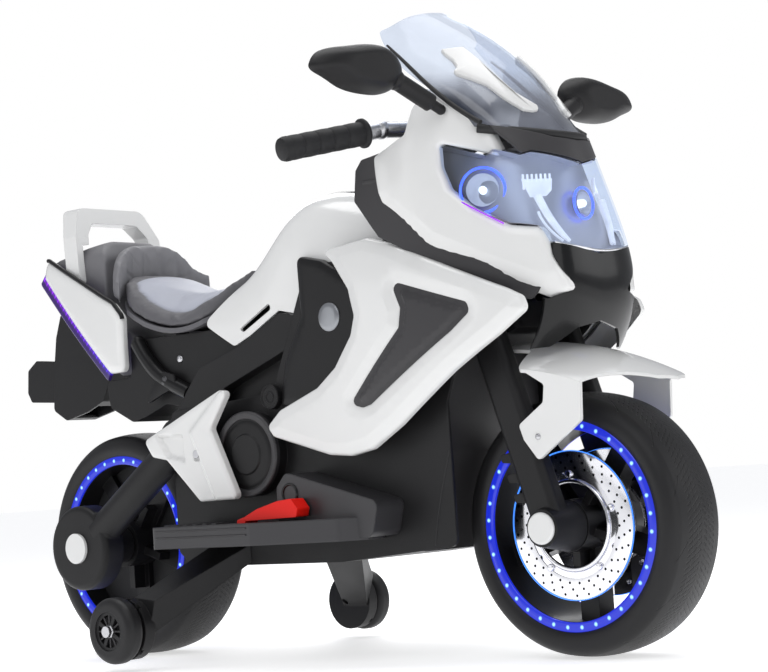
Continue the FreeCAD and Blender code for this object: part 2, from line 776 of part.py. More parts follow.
def dashboard(shadow):
    cowl = front_panel(cowl_half, lens_setback, panel_thickness)
    ledge_z = cowl_top - cowl_dip - 3 * wall
    layer = box(0, front_reach, -200, 200, ledge_z, ledge_z + wall)
    ledge = front_panel(cowl_half, lens_setback, 50).common(layer)
    stay = box(along(380), along(392), -30, 30, ledge_z, dash_height - 1)
    plan = spread([(312, -80), (352, -78), (400, -34), (418, 0), (400, 34), (352, 78), (312, 80)])
    shelf = plate_xy(plan, 8, dash_height - 4, dash_height)
    bridge_top = shell_top - bridge_drop + wall
    right_leg = box(along(270), along(318), -52, -40, dash_height - 4, dash_height)
    right_leg = joined(right_leg, box(along(270), along(284), -52, -40, bridge_top, dash_height))
    pod_side = [(316, dash_height - 2), (352, dash_height - 2), (346, pod_top), (316, pod_top)]
    pod = plate_xz(spread(pod_side), 4, -pod_half_width, pod_half_width)
    whole = joined(cowl, ledge, stay, shelf, pod, right_leg, left_of(right_leg))
    body = largest(whole.cut(shadow).cut(windshield_room()))
    x0, x1 = switch_x
    side = switch_half_width + part_gap
    for y in (-switch_y, switch_y):
        room = box(x0 - part_gap, x1 + part_gap, y - side, y + side, dash_height + 8, pod_top + 1)
        body = body.cut(room)
        body = body.cut(switch_pin(y, switch_pin_radius + running_gap))
    return body.cut(Part.makeCylinder(button_radius + part_gap, 40, V(button_x, 0, dash_height + 8)))


# Dashboard controls
switch_x = (along(322), along(340))
switch_half_width = 7.0
switch_y = 30.0
switch_pin_radius = 2.0
switch_pin_reach = 11.0
button_x = along(331)
button_radius = 8.0
pod_half_width = 52.0
pod_top = dash_height + 22
pivot_height = pod_top - 4


def switch_pin(y, radius):
    middle = (switch_x[0] + switch_x[1]) / 2
    return cylinder_y(middle, pivot_height, radius, y - switch_pin_reach, y + switch_pin_reach)


def rocker(y):
    x0, x1 = switch_x
    middle = (x0 + x1) / 2
    half = (x1 - x0) / 2 - 1
    side = [(middle - half, pod_top + 4), (middle, pod_top + 1.5), (middle + half, pod_top + 4),
            (middle + half, pod_top - 4), (middle, pod_top - 9), (middle - half, pod_top - 4)]
    key = plate_xz(side, 0.8, y - switch_half_width, y + switch_half_width)
    return joined(key, switch_pin(y, switch_pin_radius))


def music_button():
    foot = dash_height + 12
    stalk = Part.makeCylinder(button_radius, pod_top + 4 - foot, V(button_x, 0, foot))
    return stalk.makeFillet(1.5, [stalk.Edges[0]])


def build_upper_nose():
    shadow = nose_shadow()
    export("nose_shell", nose_shell())
    export("windshield", windshield())
    trim = windshield_trim()
    export("windshield_trims", trim, left_of(trim))
    export("dashboard", dashboard(shadow))
    export("power_switch", rocker(-switch_y))
    export("direction_switch", rocker(switch_y))
    export("music_button", music_button())


# Tank cover, seat and tail
tank_stations = spread([(-110, 474), (-64, 482), (-18, 514), (28, 562), (74, 576), (143, 566),
                        (212, tank_tip_height)])
tank_low = 380.0
tank_profile = [(1.0, 0.0), (1.0, 0.28), (0.955, 0.54), (0.8, 0.8), (0.46, 0.96), (0.0, 1.0)]
tank_half_width = 96.0
tank_outline = spread([(-56, 470), (-102, 427), (-46, 394), (-16, 405), (35, 431), (70, 423),
                       (82, 450), (76, 494), (116, deck_height + part_gap),
                       (205, deck_height + part_gap), (205, 600), (20, 600), (-40, 500)])
tank_slot = spread([(-36, 414), (-28, 410), (22, 434), (18, 442)])
seat_plan_half = [(38, -60), (66, -84), (86, -112), (96, -158), (93, -214), (84, -258), (66, -282)]
seat_xs = [along(x) for x in (-40, -80, -110, -145, -208, -258, -300, -340)]
seat_rim = [472, 448, 429, 421, 432, 455, 484, 500]
seat_rim_height = 6.5
cushion_edge = 21.0
cushion_inset = 0.5
cushion_crown = 30.0
backrest_half_width = 88.0
backrest_drop = 7.0
backrest_shoulder = 80.0
tail_shoulder = 34.0
arch_profile = [(-1.0, 0.0), (-0.9, 0.5), (-0.55, 0.88), (0.0, 1.0), (0.55, 0.88), (0.9, 0.5),
                (1.0, 0.0)]
backrest_front_x = along(-262)
backrest_back_x = along(-280)
backrest_hollow = 34.0
backrest_bulge = 38.0
tail_peak = 566.0
tail_core_half_width = 66.0
tail_side = spread([(-262, 376), (-296, 374), (-428, tail_peak - 60), (-440, tail_peak - 26),
                    (-372, tail_peak - 8), (-334, tail_peak), (-318, tail_peak - 26), (-318, 470),
                    (-262, 424)])
handle_rise = 49.0
handle_bar_height = 22.0
handle_top = tail_peak + handle_rise
handle_foot = tail_peak - 60
handle_half = [(58, handle_top), (76, handle_top - 42), (78, handle_foot)]
handle_side = spread([(-357, handle_foot), (-362, handle_top - 42), (-379, handle_top + 5),
                      (-410, handle_top + 5), (-389, handle_top - 42), (-383, handle_foot)])


def tank_section(x, top, shrink):
    width = tank_half_width - shrink
    height = top - shrink - tank_low
    half = [V(x, -width * share, tank_low + height * rise) for share, rise in tank_profile]
    curve = Part.BSplineCurve()
    curve.interpolate(half + [V(p.x, -p.y, p.z) for p in reversed(half[:-1])])
    close = Part.LineSegment(V(x, width, tank_low), V(x, -width, tank_low)).toShape()
    return Part.Wire([curve.toShape(), close])


def tank_cover():
    outer = Part.makeLoft([tank_section(*s, 0) for s in tank_stations], True)
    inner = Part.makeLoft([tank_section(*s, wall) for s in tank_stations], True)
    shell = outer.cut(inner).common(plate_xz(tank_outline, 8, -200, 200))
    slot = plate_xz(tank_slot, 4, -200, 200)
    deck = inset(chassis_side, -part_gap, 10, -200, 200)
    return largest(shell.cut(slot).cut(deck))


def plan_points(half):
    return [(along(x), y) for y, x in mirrored(half)]


def rim_skin(lift):
    ys = [-120, 0, 120]
    return skin([[V(x, y, z + lift) for x, z in zip(seat_xs, seat_rim)] for y in ys])


def seat_base():
    block = plate_xy(plan_points(seat_plan_half), 14, 380, 640)
    base = block.common(rim_skin(0).extrude(V(0, 0, seat_rim_height)))
    half = [(y - 2 * wall, x) for y, x in seat_plan_half]
    middle = box(along(-250), along(-90), -200, 200, 0, 640)
    room = plate_xy(plan_points(half), 10, 380, 640).common(middle)
    return base.cut(room.common(rim_skin(-wall).extrude(V(0, 0, seat_rim_height))))


def cushion_face():
    ys = [-100, -80, -50, 0, 50, 80, 100]
    share = [0.0, 0.42, 0.84, 1.0, 0.84, 0.42, 0.0]
    low = cushion_edge
    lengthwise = [0.25, 0.62, 0.85, 1.0, 1.0, 0.9, 0.6, 0.4]
    rows = []
    for y, s in zip(ys, share):
        rises = [low + cushion_crown * s * f for f in lengthwise]
        rows.append([V(x, y, z + rise) for x, z, rise in zip(seat_xs, seat_rim, rises)])
    return skin(rows)


def seat_cushion():
    half = [(y - cushion_inset, x - (cushion_inset if x > -100 else 0)) for y, x in seat_plan_half]
    block = plate_xy(plan_points(half), 14, 380, 640)
    block = block.common(rim_skin(seat_rim_height + part_gap).extrude(V(0, 0, 200)))
    return block.common(cushion_face().extrude(V(0, 0, -200))).cut(backrest_block(part_gap))


def arch(half_width, top, shoulder, x0, x1):
    """A block along the bike with an arched top: straight sides up to a shoulder below the crown."""
    side, foot = top - shoulder, 340
    crown = [V(x0, y * half_width, side + rise * shoulder) for y, rise in arch_profile]
    curve = Part.BSplineCurve()
    curve.interpolate(crown, InitialTangent=V(0, 0, 1), FinalTangent=V(0, 0, -1))
    corners = [crown[-1], V(x0, half_width, foot), V(x0, -half_width, foot), crown[0]]
    edges = [curve.toShape()] + [Part.LineSegment(a, b).toShape() for a, b in zip(corners, corners[1:])]
    return Part.Face(Part.Wire(edges)).extrude(V(x1 - x0, 0, 0))


def backrest_block(gap):
    """The backrest's plan, hollow towards the rider, as a tall block."""
    front, back = backrest_front_x + gap, backrest_back_x
    side = backrest_half_width + 4 + gap
    front_arc = Part.Arc(V(front, -side, 0), V(front - backrest_hollow, 0, 0), V(front, side, 0))
    back_arc = Part.Arc(V(back, side, 0), V(back - backrest_bulge, 0, 0), V(back, -side, 0))
    right = Part.LineSegment(V(back, -side, 0), V(front, -side, 0))
    left = Part.LineSegment(V(front, side, 0), V(back, side, 0))
    wire = Part.Wire([line.toShape() for line in (front_arc, left, back_arc, right)])
    return Part.Face(wire).extrude(V(0, 0, 700))


def backrest_pad():
    w = backrest_half_width
    top = tail_peak - backrest_drop
    far = backrest_back_x - 2 * backrest_bulge
    pad = backrest_block(0).common(arch(w, top, backrest_shoulder, far, backrest_front_x + 40))
    return pad.common(rim_skin(seat_rim_height + part_gap).extrude(V(0, 0, 300)))


def tail_core():
    half = tail_core_half_width
    end = tail_side[3][0] - 10
    hump = arch(half, tail_peak + 2, tail_shoulder, end, 0)
    body = plate_xz(tail_side, 10, -half, half).common(hump)
    room = arch(half - wall, tail_peak + 2 - wall, tail_shoulder, end, 0)
    cavity = inset(tail_side, wall, 8, -half + wall, half - wall).common(room)
    vent = box(along(-330), along(-300), -30, 30, 360, 420)
    backrest_room = backrest_block(0).common(rim_skin(seat_rim_height).extrude(V(0, 0, 300)))
    seat_room = seat_base().fuse(rim_skin(-part_gap).extrude(V(0, 0, 120)).common(
        plate_xy(plan_points([(y + 1, x) for y, x in seat_plan_half]), 14, 380, 640)))
    return largest(body.cut(cavity).cut(vent).cut(backrest_room).cut(seat_room))


def grab_handle():
    """A flat loop that leans back at the top, its legs on both sides of the tail core."""
    back, front = handle_side[3][0], handle_side[0][0]
    inner = tail_core_half_width
    sill = tail_peak - 4
    opening = mirrored([(40, handle_top - handle_bar_height), (54, handle_top - 40), (56, sill - 20)])
    loop = plate_yz(mirrored(handle_half), 16, back, front).cut(plate_yz(opening, 9, back, front))
    loop = loop.cut(box(back, front, -inner, inner, 0, sill))
    return loop.common(plate_xz(handle_side, 6, -200, 200))


mudguard_side = spread([(-428, 508), (-466, 474), (-478, 444), (-485, 404), (-491, 342),
                        (-464, 326), (-420, 335), (-384, 348), (-358, 396), (-336, 416)])
mudguard_half_width = 25.0
lamp_side = spread([(-478, 410), (-545, 417), (-565, 404), (-568, 372), (-560, 358), (-480, 352)])
lamp_half_width = 8.0


def rear_mudguard():
    """A hollow flap under the tail, open below, with a narrow lamp bracket behind it."""
    flap = plate_xz(mudguard_side, 8, -mudguard_half_width, mudguard_half_width)
    lamp = plate_xz(lamp_side, 5, -lamp_half_width, lamp_half_width)
    inner = mudguard_half_width - wall
    room = inset(mudguard_side, wall, 6, -inner, inner)
    mouth = box(along(-450), along(-400), -inner, inner, 300, 350)
    tail = inset(tail_side, 0, 10, -tail_core_half_width, tail_core_half_width)
    return largest(joined(flap, lamp).cut(room).cut(mouth).cut(tail))


def build_top():
    core = tail_core()
    handle = grab_handle()
    export("tank_cover", tank_cover())
    export("seat_base", seat_base())
    export("seat_cushion", largest(seat_cushion()))
    export("backrest_pad", largest(backrest_pad()))
    export("tail_core", core)
    export("grab_handle", handle)
    export("rear_mudguard", rear_mudguard())


# Footboards, pedal, swing arms, stabilisers
board_bottom = 147.0
board_top = 174.0
board_plan = spread([(-118, -104), (-118, -186), (-112, -192), (58, -192), (178, -166),
                     (200, -140), (200, -104)])
under_plan = spread([(-110, -108), (-110, -184), (56, -184), (172, -160), (190, -138), (190, -108)])
housing_side = spread([(64, 150), (64, 214), (80, 231), (226, 191), (214, 150)])
housing_reach = 148.0
board_pockets = [(along(-110), along(-8)), (along(130), along(190))]
pedal_side = spread([(17, 176), (53, 190), (87, 198), (110, 200), (120, 188), (117, 178)])
pedal_ear = spread([(16, 165), (28, 165), (34, 182), (18, 178)])
pedal_y = (-172.0, -151.0)
pedal_well_depth = 18.0
pedal_pin_radius = 3.0
pedal_pin = (along(22), 170.0)


def footboard(well):
    half = chassis_half_width
    board = plate_xy(board_plan, 10, board_bottom, board_top)
    board = joined(board, box(along(-100), along(190), -108, -half, board_bottom, board_top))
    under = plate_xy(under_plan, 8, board_bottom, board_top - pedal_well_depth - wall)
    body = board.cut(under)
    for x0, x1 in board_pockets:
        pocket = box(x0, x1, -200, -108, board_bottom, board_top - wall)
        body = body.cut(pocket.common(plate_xy(under_plan, 8, board_bottom, board_top)))
    hood = plate_xz(housing_side, 10, -housing_reach, -half)
    body = joined(body, hood).cut(inset(housing_side, wall, 8, -housing_reach + wall, -half))
    ribs = []
    for i in range(6):
        x = along(-104 + 17 * i)
        ribs.append(box(x, x + 7, -180, -116, board_top, board_top + 2))
    body = joined(body, *ribs)
    if well:
        x0, x1 = pedal_side[0][0] - 3, pedal_side[4][0] + 3
        y0, y1 = pedal_y
        body = body.cut(box(x0, x1, y0 - 1, y1 + 1, board_top - pedal_well_depth, board_top + 3))
        body = body.cut(cylinder_y(*pedal_pin, pedal_pin_radius + running_gap, y0 - 6, y1 + 6))
    return body


def pedal():
    wedge = plate_xz(pedal_side, 3, *pedal_y)
    ear = plate_xz(pedal_ear, 2, *pedal_y)
    pin = cylinder_y(*pedal_pin, pedal_pin_radius, pedal_y[0] - 5, pedal_y[1] + 5)
    return joined(wedge, ear, pin)


arm_seat = (along(-140), 282.0)
arm_radius = 21.0
arm_y = 107.0
arm_start = 36.0
drum_radius = 56.0
drum_outer = 126.0
drum_inner = 94.0
rear_cap_radius = 20.0
arm_end_radius = 27.0


def swingarm():
    x, z = rear_axle_x, wheel_radius
    drum = cylinder_y(x, z, drum_radius, -drum_outer, -drum_inner)
    rim_edge = [e for e in drum.Edges if e.BoundBox.YMax < -drum_outer + 0.01]
    drum = drum.makeFillet(8, rim_edge)
    seat = V(arm_seat[0], -arm_y, arm_seat[1])
    axle = V(x, -arm_y, z)
    knuckle = cylinder_y(*arm_seat, arm_radius + 6, -arm_y - 14, -chassis_half_width)
    start = axle + (seat - axle).normalize() * arm_start
    upper = rod(seat, start, arm_radius)
    lobe = cylinder_y(start.x, start.z, arm_end_radius, -drum_outer + 2, -chassis_half_width)
    lobe = lobe.makeFillet(8, [e for e in lobe.Edges if e.BoundBox.YMax < -drum_outer + 2.01])
    sleeve = cylinder_y(x, z, 24, -drum_inner, -hub_half_width - 1)
    body = joined(drum, upper, lobe, knuckle, sleeve)
    body = body.cut(box(chassis_rear_x - 12, 0, -chassis_half_width, 0, 0, 600))
    return body.cut(cylinder_y(x, z, axle_radius, -200, 0))


def gear_motor():
    x, z = rear_axle_x, wheel_radius
    y0, y1 = hub_half_width + 1, drum_inner
    case = cylinder_y(x, z, 44, y0 + 4, y1).fuse(cylinder_y(x + 34, z + 22, 30, y0 + 4, y1))
    nose = cylinder_y(x, z, 22, y0, y0 + 4)
    can = Part.makeCylinder(16, 62, V(x + 46, y1 - 27, z + 30), V(0.9, 0, 0.44))
    return joined(case, nose, can).cut(cylinder_y(x, z, axle_radius, 0, 200))


stabiliser_height = stabiliser_radius + stabiliser_lift
arm_root = spread([(-104, 124), (-104, 146), (-34, 146), (-34, 124)])
boss_radius = 42.0
boss_thickness = 16.0


def stabiliser_arm():
    outer = stabiliser_inner_y - 2
    inner = outer - boss_thickness
    sx, sz = along(stabiliser_x), stabiliser_height
    root = Part.makePolygon([V(x, -chassis_half_width, z) for x, z in arm_root + arm_root[:1]])
    tip_points = [(sx - 12, sz - 10), (sx + 8, sz + 38), (sx + 44, sz + 34), (sx + 30, sz - 10)]
    tip = Part.makePolygon([V(x, -inner - 4, z) for x, z in tip_points + tip_points[:1]])
    beam = Part.makeLoft([root, tip], True, True)
    boss = cylinder_y(sx, sz, boss_radius - 4, -outer, -inner)
    keep = box(-400, 400, -400, 0, belly_height - 112, 400)
    grooves = [box(sx + 6 + 16 * i, sx + 12 + 16 * i, -outer - 1, -outer + 4, 0, 300) for i in range(2)]
    body = joined(beam, boss).common(keep)
    return body.cut(cylinder_y(sx, sz, stabiliser_axle_radius, -400, 0)).cut(Part.makeCompound(grooves))


def stabiliser_wheel():
    sx, sz = along(stabiliser_x), stabiliser_height
    y0, y1 = -stabiliser_inner_y - stabiliser_width, -stabiliser_inner_y
    tyre = cylinder_y(sx, sz, stabiliser_radius, y0, y1)
    edges = [e for e in tyre.Edges if e.BoundBox.YLength < 0.01]
    tyre = tyre.makeFillet(10, edges)
    tyre = tyre.cut(cylinder_y(sx, sz, stabiliser_hub_radius, y0, y1))
    hub = cylinder_y(sx, sz, stabiliser_hub_radius, y0 + 2, y1 - 2)
    pocket = cylinder_y(sx, sz, stabiliser_hub_radius - 4, y0 + 2, y0 + 8)
    pocket = pocket.cut(cylinder_y(sx, sz, 9, y0 + 2, y0 + 8))
    for i in range(4):
        web = box(sx, sx + stabiliser_hub_radius, y0 + 2, y0 + 8, sz - 2.5, sz + 2.5)
        web.rotate(V(sx, 0, sz), V(0, 1, 0), 90 * i + 30)
        pocket = pocket.cut(web)
    hub = hub.cut(pocket).cut(cylinder_y(sx, sz, stabiliser_axle_radius + running_gap, y0, y1))
    return tyre, hub


def stabiliser_bolt():
    sx, sz = along(stabiliser_x), stabiliser_height
    far = -stabiliser_inner_y - stabiliser_width - part_gap
    inner = -stabiliser_inner_y + 2 + boss_thickness
    shank = cylinder_y(sx, sz, stabiliser_axle_radius, far, inner)
    head = cylinder_y(sx, sz, 7, far - 4, far)
    return joined(shank, head)


def build_lower():
    x, z = rear_axle_x, wheel_radius
    right_board = footboard(True)
    left_board = left_of(footboard(False))
    arm = swingarm()
    stabiliser = stabiliser_arm()
    tyre, hub = stabiliser_wheel()
    bolt = stabiliser_bolt()
    axle = cylinder_y(x, z, axle_radius - running_gap, -drum_outer, drum_outer)
    cap = cylinder_y(x, z, rear_cap_radius, -drum_outer - cap_thickness, -drum_outer)
    plate = heel_plate()
    head = cylinder_y(along(-86), 262, 5, -heel_y - 2.5, -heel_y)
    second = cylinder_y(along(-50), 220, 4, -heel_y - 2.5, -heel_y)
    export("footboards", right_board, left_board)
    export("pedal", pedal())
    export("swingarm_right", arm)
    export("swingarm_left", left_of(arm).cut(cylinder_y(x, z, 2 * drum_radius, 0, drum_inner)))
    export("gear_motor", gear_motor())
    export("axle_bolts", axle, bolt, left_of(bolt))
    export("rear_axle_caps", cap, left_of(cap))
    export("stabiliser_arm_right", stabiliser)
    export("stabiliser_arm_left", left_of(stabiliser))
    export("stabiliser_wheel_right", tyre, hub)
    export("stabiliser_wheel_left", left_of(tyre), left_of(hub))
    export("heel_plates", plate, left_of(plate))
    export("body_screws", head, second, left_of(head), left_of(second))


# Battery and control box on the chassis floor
battery_size = (151.0, 65.0, 94.0)
battery_x = along(-50)
control_size = (80.0, 60.0, 30.0)


def build_inside():
    length, width, height = battery_size
    floor = belly_height + wall
    export("battery", box(battery_x, battery_x + length, -width / 2, width / 2, floor, floor + height))
    long, wide, tall = control_size
    start = battery_x + (length - long) / 2
    top = floor + height
    export("control_box", box(start, start + long, -wide / 2, wide / 2, top, top + tall))


# Mirrors: a stalk with a round foot that turns in its socket on the nose, and a rounded head
mirror_foot = V(along(324.3), -106, 633)
mirror_neck = V(along(312), -168, 664)
mirror_head = [(-293, 672), (-286, 682), (-248, 695), (-198, 702), (-172, 697), (-154, 675),
               (-172, 652), (-203, 646), (-252, 651), (-278, 661)]
mirror_middle = (-218.0, 674.0)
mirror_layers = [(298.0, 1.0), (314.0, 0.94), (324.0, 0.74), (328.0, 0.46)]
glass_thickness = 1.5
glass_share = 0.86
foot_radius = 6.0
foot_length = 16.0
stalk_radius = 10.5


def mirror_ring(x, share):
    """The mirror head's outline, shrunk about its middle and set at a station."""
    y0, z0 = mirror_middle
    curve = Part.BSplineCurve()
    points = [V(along(x), y0 + (y - y0) * share, z0 + (z - z0) * share) for y, z in mirror_head]
    curve.interpolate(points, PeriodicFlag=True)
    return Part.Wire([curve.toShape()])


def mirror():
    head = Part.makeLoft([mirror_ring(x, share) for x, share in mirror_layers], True)
    root = mirror_foot + (mirror_neck - mirror_foot).normalize() * foot_length
    foot = rod(mirror_foot, root, foot_radius)
    ball = Part.makeSphere(foot_radius + 0.2, mirror_foot)
    stalk = rod(root, mirror_neck, stalk_radius)
    knuckle = Part.makeSphere(stalk_radius + knuckle_margin, mirror_neck)
    glass = Part.Face(mirror_ring(mirror_layers[0][0], glass_share)).extrude(V(-glass_thickness, 0, 0))
    return joined(head, stalk, knuckle, foot, ball), glass


def build_mirrors():
    body, glass = mirror()
    export("mirror_right", body, glass)
    export("mirror_left", left_of(body), left_of(glass))


os.makedirs("parts", exist_ok=True)
build_wheels()
build_steering()
build_chassis()
build_panels()
build_nose()
build_upper_nose()
build_top()
build_lower()
build_inside()
build_mirrors()
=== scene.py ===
# %% [markdown]
# # A child's electric motorbike in a white studio
# The solids of the bike come ready made, each on the moving body it belongs to. This script dresses them:
# it keeps the plain solids that already have the right shape, and builds finer meshes where a moulding
# needs rolled edges, a tyre needs its tread or a seat needs its stuffing. Everything is made of procedural
# nodes, so no picture is loaded from a file. All lengths are in metres.

# %% Start: the tools and the frame
import bpy
import bmesh
import json
import math
import numpy as np
from mathutils import Matrix, Vector
from mathutils.bvhtree import BVHTree
from mathutils.geometry import delaunay_2d_cdt


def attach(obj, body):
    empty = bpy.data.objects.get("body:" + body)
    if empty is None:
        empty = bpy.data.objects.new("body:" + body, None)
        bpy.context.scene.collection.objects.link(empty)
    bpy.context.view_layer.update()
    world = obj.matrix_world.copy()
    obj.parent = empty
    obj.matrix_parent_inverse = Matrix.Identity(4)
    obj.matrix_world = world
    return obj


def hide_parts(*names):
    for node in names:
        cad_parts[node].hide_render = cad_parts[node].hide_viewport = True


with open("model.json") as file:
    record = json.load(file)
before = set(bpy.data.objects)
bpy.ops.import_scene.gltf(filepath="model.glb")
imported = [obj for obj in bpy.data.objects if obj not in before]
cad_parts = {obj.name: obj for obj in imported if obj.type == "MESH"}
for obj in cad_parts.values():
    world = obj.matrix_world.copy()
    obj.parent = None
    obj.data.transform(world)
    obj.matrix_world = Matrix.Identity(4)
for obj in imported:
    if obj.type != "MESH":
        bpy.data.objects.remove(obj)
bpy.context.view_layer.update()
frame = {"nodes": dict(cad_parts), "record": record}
nodes = frame["nodes"]

FRONT = Vector((0.418, 0.0, 0.150))
REAR = Vector((-0.336, 0.0, 0.150))
SIDES = ((-1, "right"), (1, "left"))
print("axles at", [round(v, 3) for v in FRONT], "and", [round(v, 3) for v in REAR])

# %% [markdown]
# ## Materials
# Nearly all of this bike is moulded plastic. One function makes every kind: a slow noise moves the
# roughness and the tone a little, as real mouldings have, and a fast one drives a bump for the grain.
# Pictures of plastic would work too, but they would show their edges on so many small pieces. Constants
# stay on the shader's own sockets, because a value linked from a node costs time on every ray and gains
# nothing.


# %% Node helpers
def shader(name):
    mat = bpy.data.materials.new(name)
    mat.use_nodes = True
    return mat, mat.node_tree, mat.node_tree.nodes["Principled BSDF"]


def node(tree, kind, **values):
    made = tree.nodes.new(kind)
    for key, value in values.items():
        if hasattr(made, key):
            setattr(made, key, value)
        else:
            made.inputs[key.replace("_", " ")].default_value = value
    return made


def maths(tree, operation, a, b=None):
    """One calculation on links or numbers."""
    made = node(tree, "ShaderNodeMath", operation=operation)
    for socket, value in zip(made.inputs, (a, b)):
        if isinstance(value, (int, float)):
            socket.default_value = value
        elif value is not None:
            tree.links.new(value, socket)
    return made.outputs[0]


def ramp(tree, value, start, end, low_value=0.0, high_value=1.0, kind="SMOOTHSTEP"):
    """Maps a range of values to another, held at its ends."""
    made = node(tree, "ShaderNodeMapRange", interpolation_type=kind)
    limits = {"From Min": start, "From Max": end, "To Min": low_value, "To Max": high_value}
    for key, number in limits.items():
        made.inputs[key].default_value = number
    tree.links.new(value, made.inputs["Value"])
    return made.outputs["Result"]


# %% Ranges, colours and noise
def spread(tree, noise, low_value, high_value):
    """Maps a noise, which mostly stays between 0.3 and 0.7, to a range of values."""
    return ramp(tree, noise, 0.3, 0.7, low_value, high_value, "LINEAR")


def mix(tree, factor, a, b):
    """Mixes two colours, each a tuple or a link."""
    made = node(tree, "ShaderNodeMix", data_type="RGBA")
    tree.links.new(factor, made.inputs["Factor"])
    for key, color in (("A", a), ("B", b)):
        if isinstance(color, tuple):
            made.inputs[key].default_value = (*color, 1)
        else:
            tree.links.new(color, made.inputs[key])
    return made.outputs["Result"]


def object_place(tree):
    return node(tree, "ShaderNodeTexCoord").outputs["Object"]


def noise(tree, scale, detail):
    made = node(tree, "ShaderNodeTexNoise", Scale=scale, Detail=detail)
    tree.links.new(object_place(tree), made.inputs["Vector"])
    return made.outputs["Fac"]


# %% Plastics and metals
def moulded(name, color, roughness, grain=0.1, scale=900, drift=0.06, tone=0.06, metallic=0.0, coat=0.0,
            soft_edge=0.0012, shine=0.5):
    """A moulded or plated surface with a fine grain and slightly rounded edges, uneven in gloss and tone."""
    mat, tree, bsdf = shader(name)
    slow = noise(tree, 14, 5.0)
    gloss = spread(tree, slow, max(0.02, roughness - drift), roughness + drift)
    tree.links.new(gloss, bsdf.inputs["Roughness"])
    dark = tuple(c * (1 - tone) for c in color)
    light = tuple(min(1.0, c * (1 + tone)) for c in color)
    tree.links.new(mix(tree, slow, dark, light), bsdf.inputs["Base Color"])
    bump = node(tree, "ShaderNodeBump", Strength=grain, Distance=0.0004)
    tree.links.new(noise(tree, scale, 3.0), bump.inputs["Height"])
    edge = node(tree, "ShaderNodeBevel", samples=4, Radius=soft_edge)
    tree.links.new(edge.outputs["Normal"], bump.inputs["Normal"])
    tree.links.new(bump.outputs["Normal"], bsdf.inputs["Normal"])
    bsdf.inputs["Metallic"].default_value = metallic
    bsdf.inputs["Specular IOR Level"].default_value = shine
    bsdf.inputs["Coat Weight"].default_value = coat
    bsdf.inputs["Coat Roughness"].default_value = 0.06
    return mat


# %% Lit parts and the list of materials
def glowing(name, color, strength, base=(0.02, 0.03, 0.08)):
    """A glowing part, for the lamps and for painted reflections on parts that are no lamps: a dark glossy
    shell with a light of its own, a little uneven from place to place.
    """
    mat, tree, bsdf = shader(name)
    slow = noise(tree, 60.0, 2.0)
    tree.links.new(spread(tree, slow, strength * 0.8, strength * 1.2), bsdf.inputs["Emission Strength"])
    tree.links.new(spread(tree, slow, 0.12, 0.24), bsdf.inputs["Roughness"])
    bsdf.inputs["Emission Color"].default_value = (*color, 1)
    bsdf.inputs["Base Color"].default_value = (*base, 1)
    return mat


white = (0.76, 0.76, 0.75)
black = (0.0100, 0.0097, 0.0104)
satin_black = (0.0085, 0.0082, 0.009)
gloss_black = (0.0035, 0.0035, 0.004)
grey = (0.033, 0.0315, 0.034)
red = (0.74, 0.010, 0.005)
tyre_black = (0.0135, 0.0132, 0.0142)
WHITE = moulded("white_gloss", white, 0.2, grain=0.02, scale=300, drift=0.05, tone=0.015, coat=0.5)
BLACK = moulded("black_grain", black, 0.44, grain=0.25, scale=1400, tone=0.14, shine=0.28, soft_edge=0.002)
SATIN = moulded("black_satin", satin_black, 0.34, tone=0.12, shine=0.26)
PIANO = moulded("black_gloss", gloss_black, 0.2, grain=0.02, scale=400, drift=0.05, coat=0.12, shine=0.3)
GREY = moulded("grey_grain", grey, 0.42, grain=0.3, scale=1300, tone=0.1, soft_edge=0.002)
INNER = moulded("inner_black", (0.01, 0.01, 0.011), 0.6, grain=0.2, scale=500)
RUBBER = moulded("grip_rubber", (0.014, 0.014, 0.015), 0.55, grain=0.4, scale=1600, shine=0.3)
TYRE = moulded("tyre_rubber", tyre_black, 0.46, grain=0.3, scale=1100, tone=0.16, shine=0.3)
CHROME = moulded("chrome", (0.82, 0.82, 0.85), 0.1, grain=0.03, scale=200, drift=0.05, metallic=1.0)
STEEL = moulded("plated_steel", (0.55, 0.55, 0.57), 0.26, grain=0.06, scale=500, metallic=1.0)
RED = moulded("red_gloss", red, 0.38, grain=0.02, scale=400, tone=0.08, coat=0.05, shine=0.2)
by_slot = {
    "white_gloss": WHITE, "black_plastic": BLACK, "black_gloss": PIANO, "grey_plastic": GREY, "tyre": TYRE,
    "rim_black": SATIN, "chrome": CHROME, "steel": STEEL, "rubber": RUBBER, "red": RED,
    "bright_reflector": CHROME, "inner_black": INNER,
}
print("materials:", len(bpy.data.materials))

# %% [markdown]
# ## Camera, floor and light
# The camera was found by matching the wheels and other known points of the bike, so its numbers are odd
# ones: a long lens, low down and tipped up a little. A white room lights the bike. The sky seen by the
# camera is plain white, while the bike's reflections see a softer grey room with bright panels, so white
# paint keeps its shape.

# %% Camera
right = Vector((0.74188436, 0.66730652, -0.06564767))
down = Vector((-0.09216268, 0.00450535, -0.99573377))
ahead = Vector((-0.66416387, 0.74476957, 0.0648432))
camera_data = bpy.data.cameras.new("camera")
camera_data.sensor_width = 36.0
camera_data.lens = 100.98
camera_data.clip_end = 50.0
camera = bpy.data.objects.new("camera", camera_data)
bpy.context.collection.objects.link(camera)
turned = Matrix((right, -down, -ahead)).transposed().to_4x4()
camera.matrix_world = Matrix.Translation((1.89155, -1.98607, 0.21895)) @ turned
bpy.context.scene.camera = camera
bpy.context.scene.view_settings.view_transform = "Standard"
print("camera lens", round(camera_data.lens, 2), "mm")

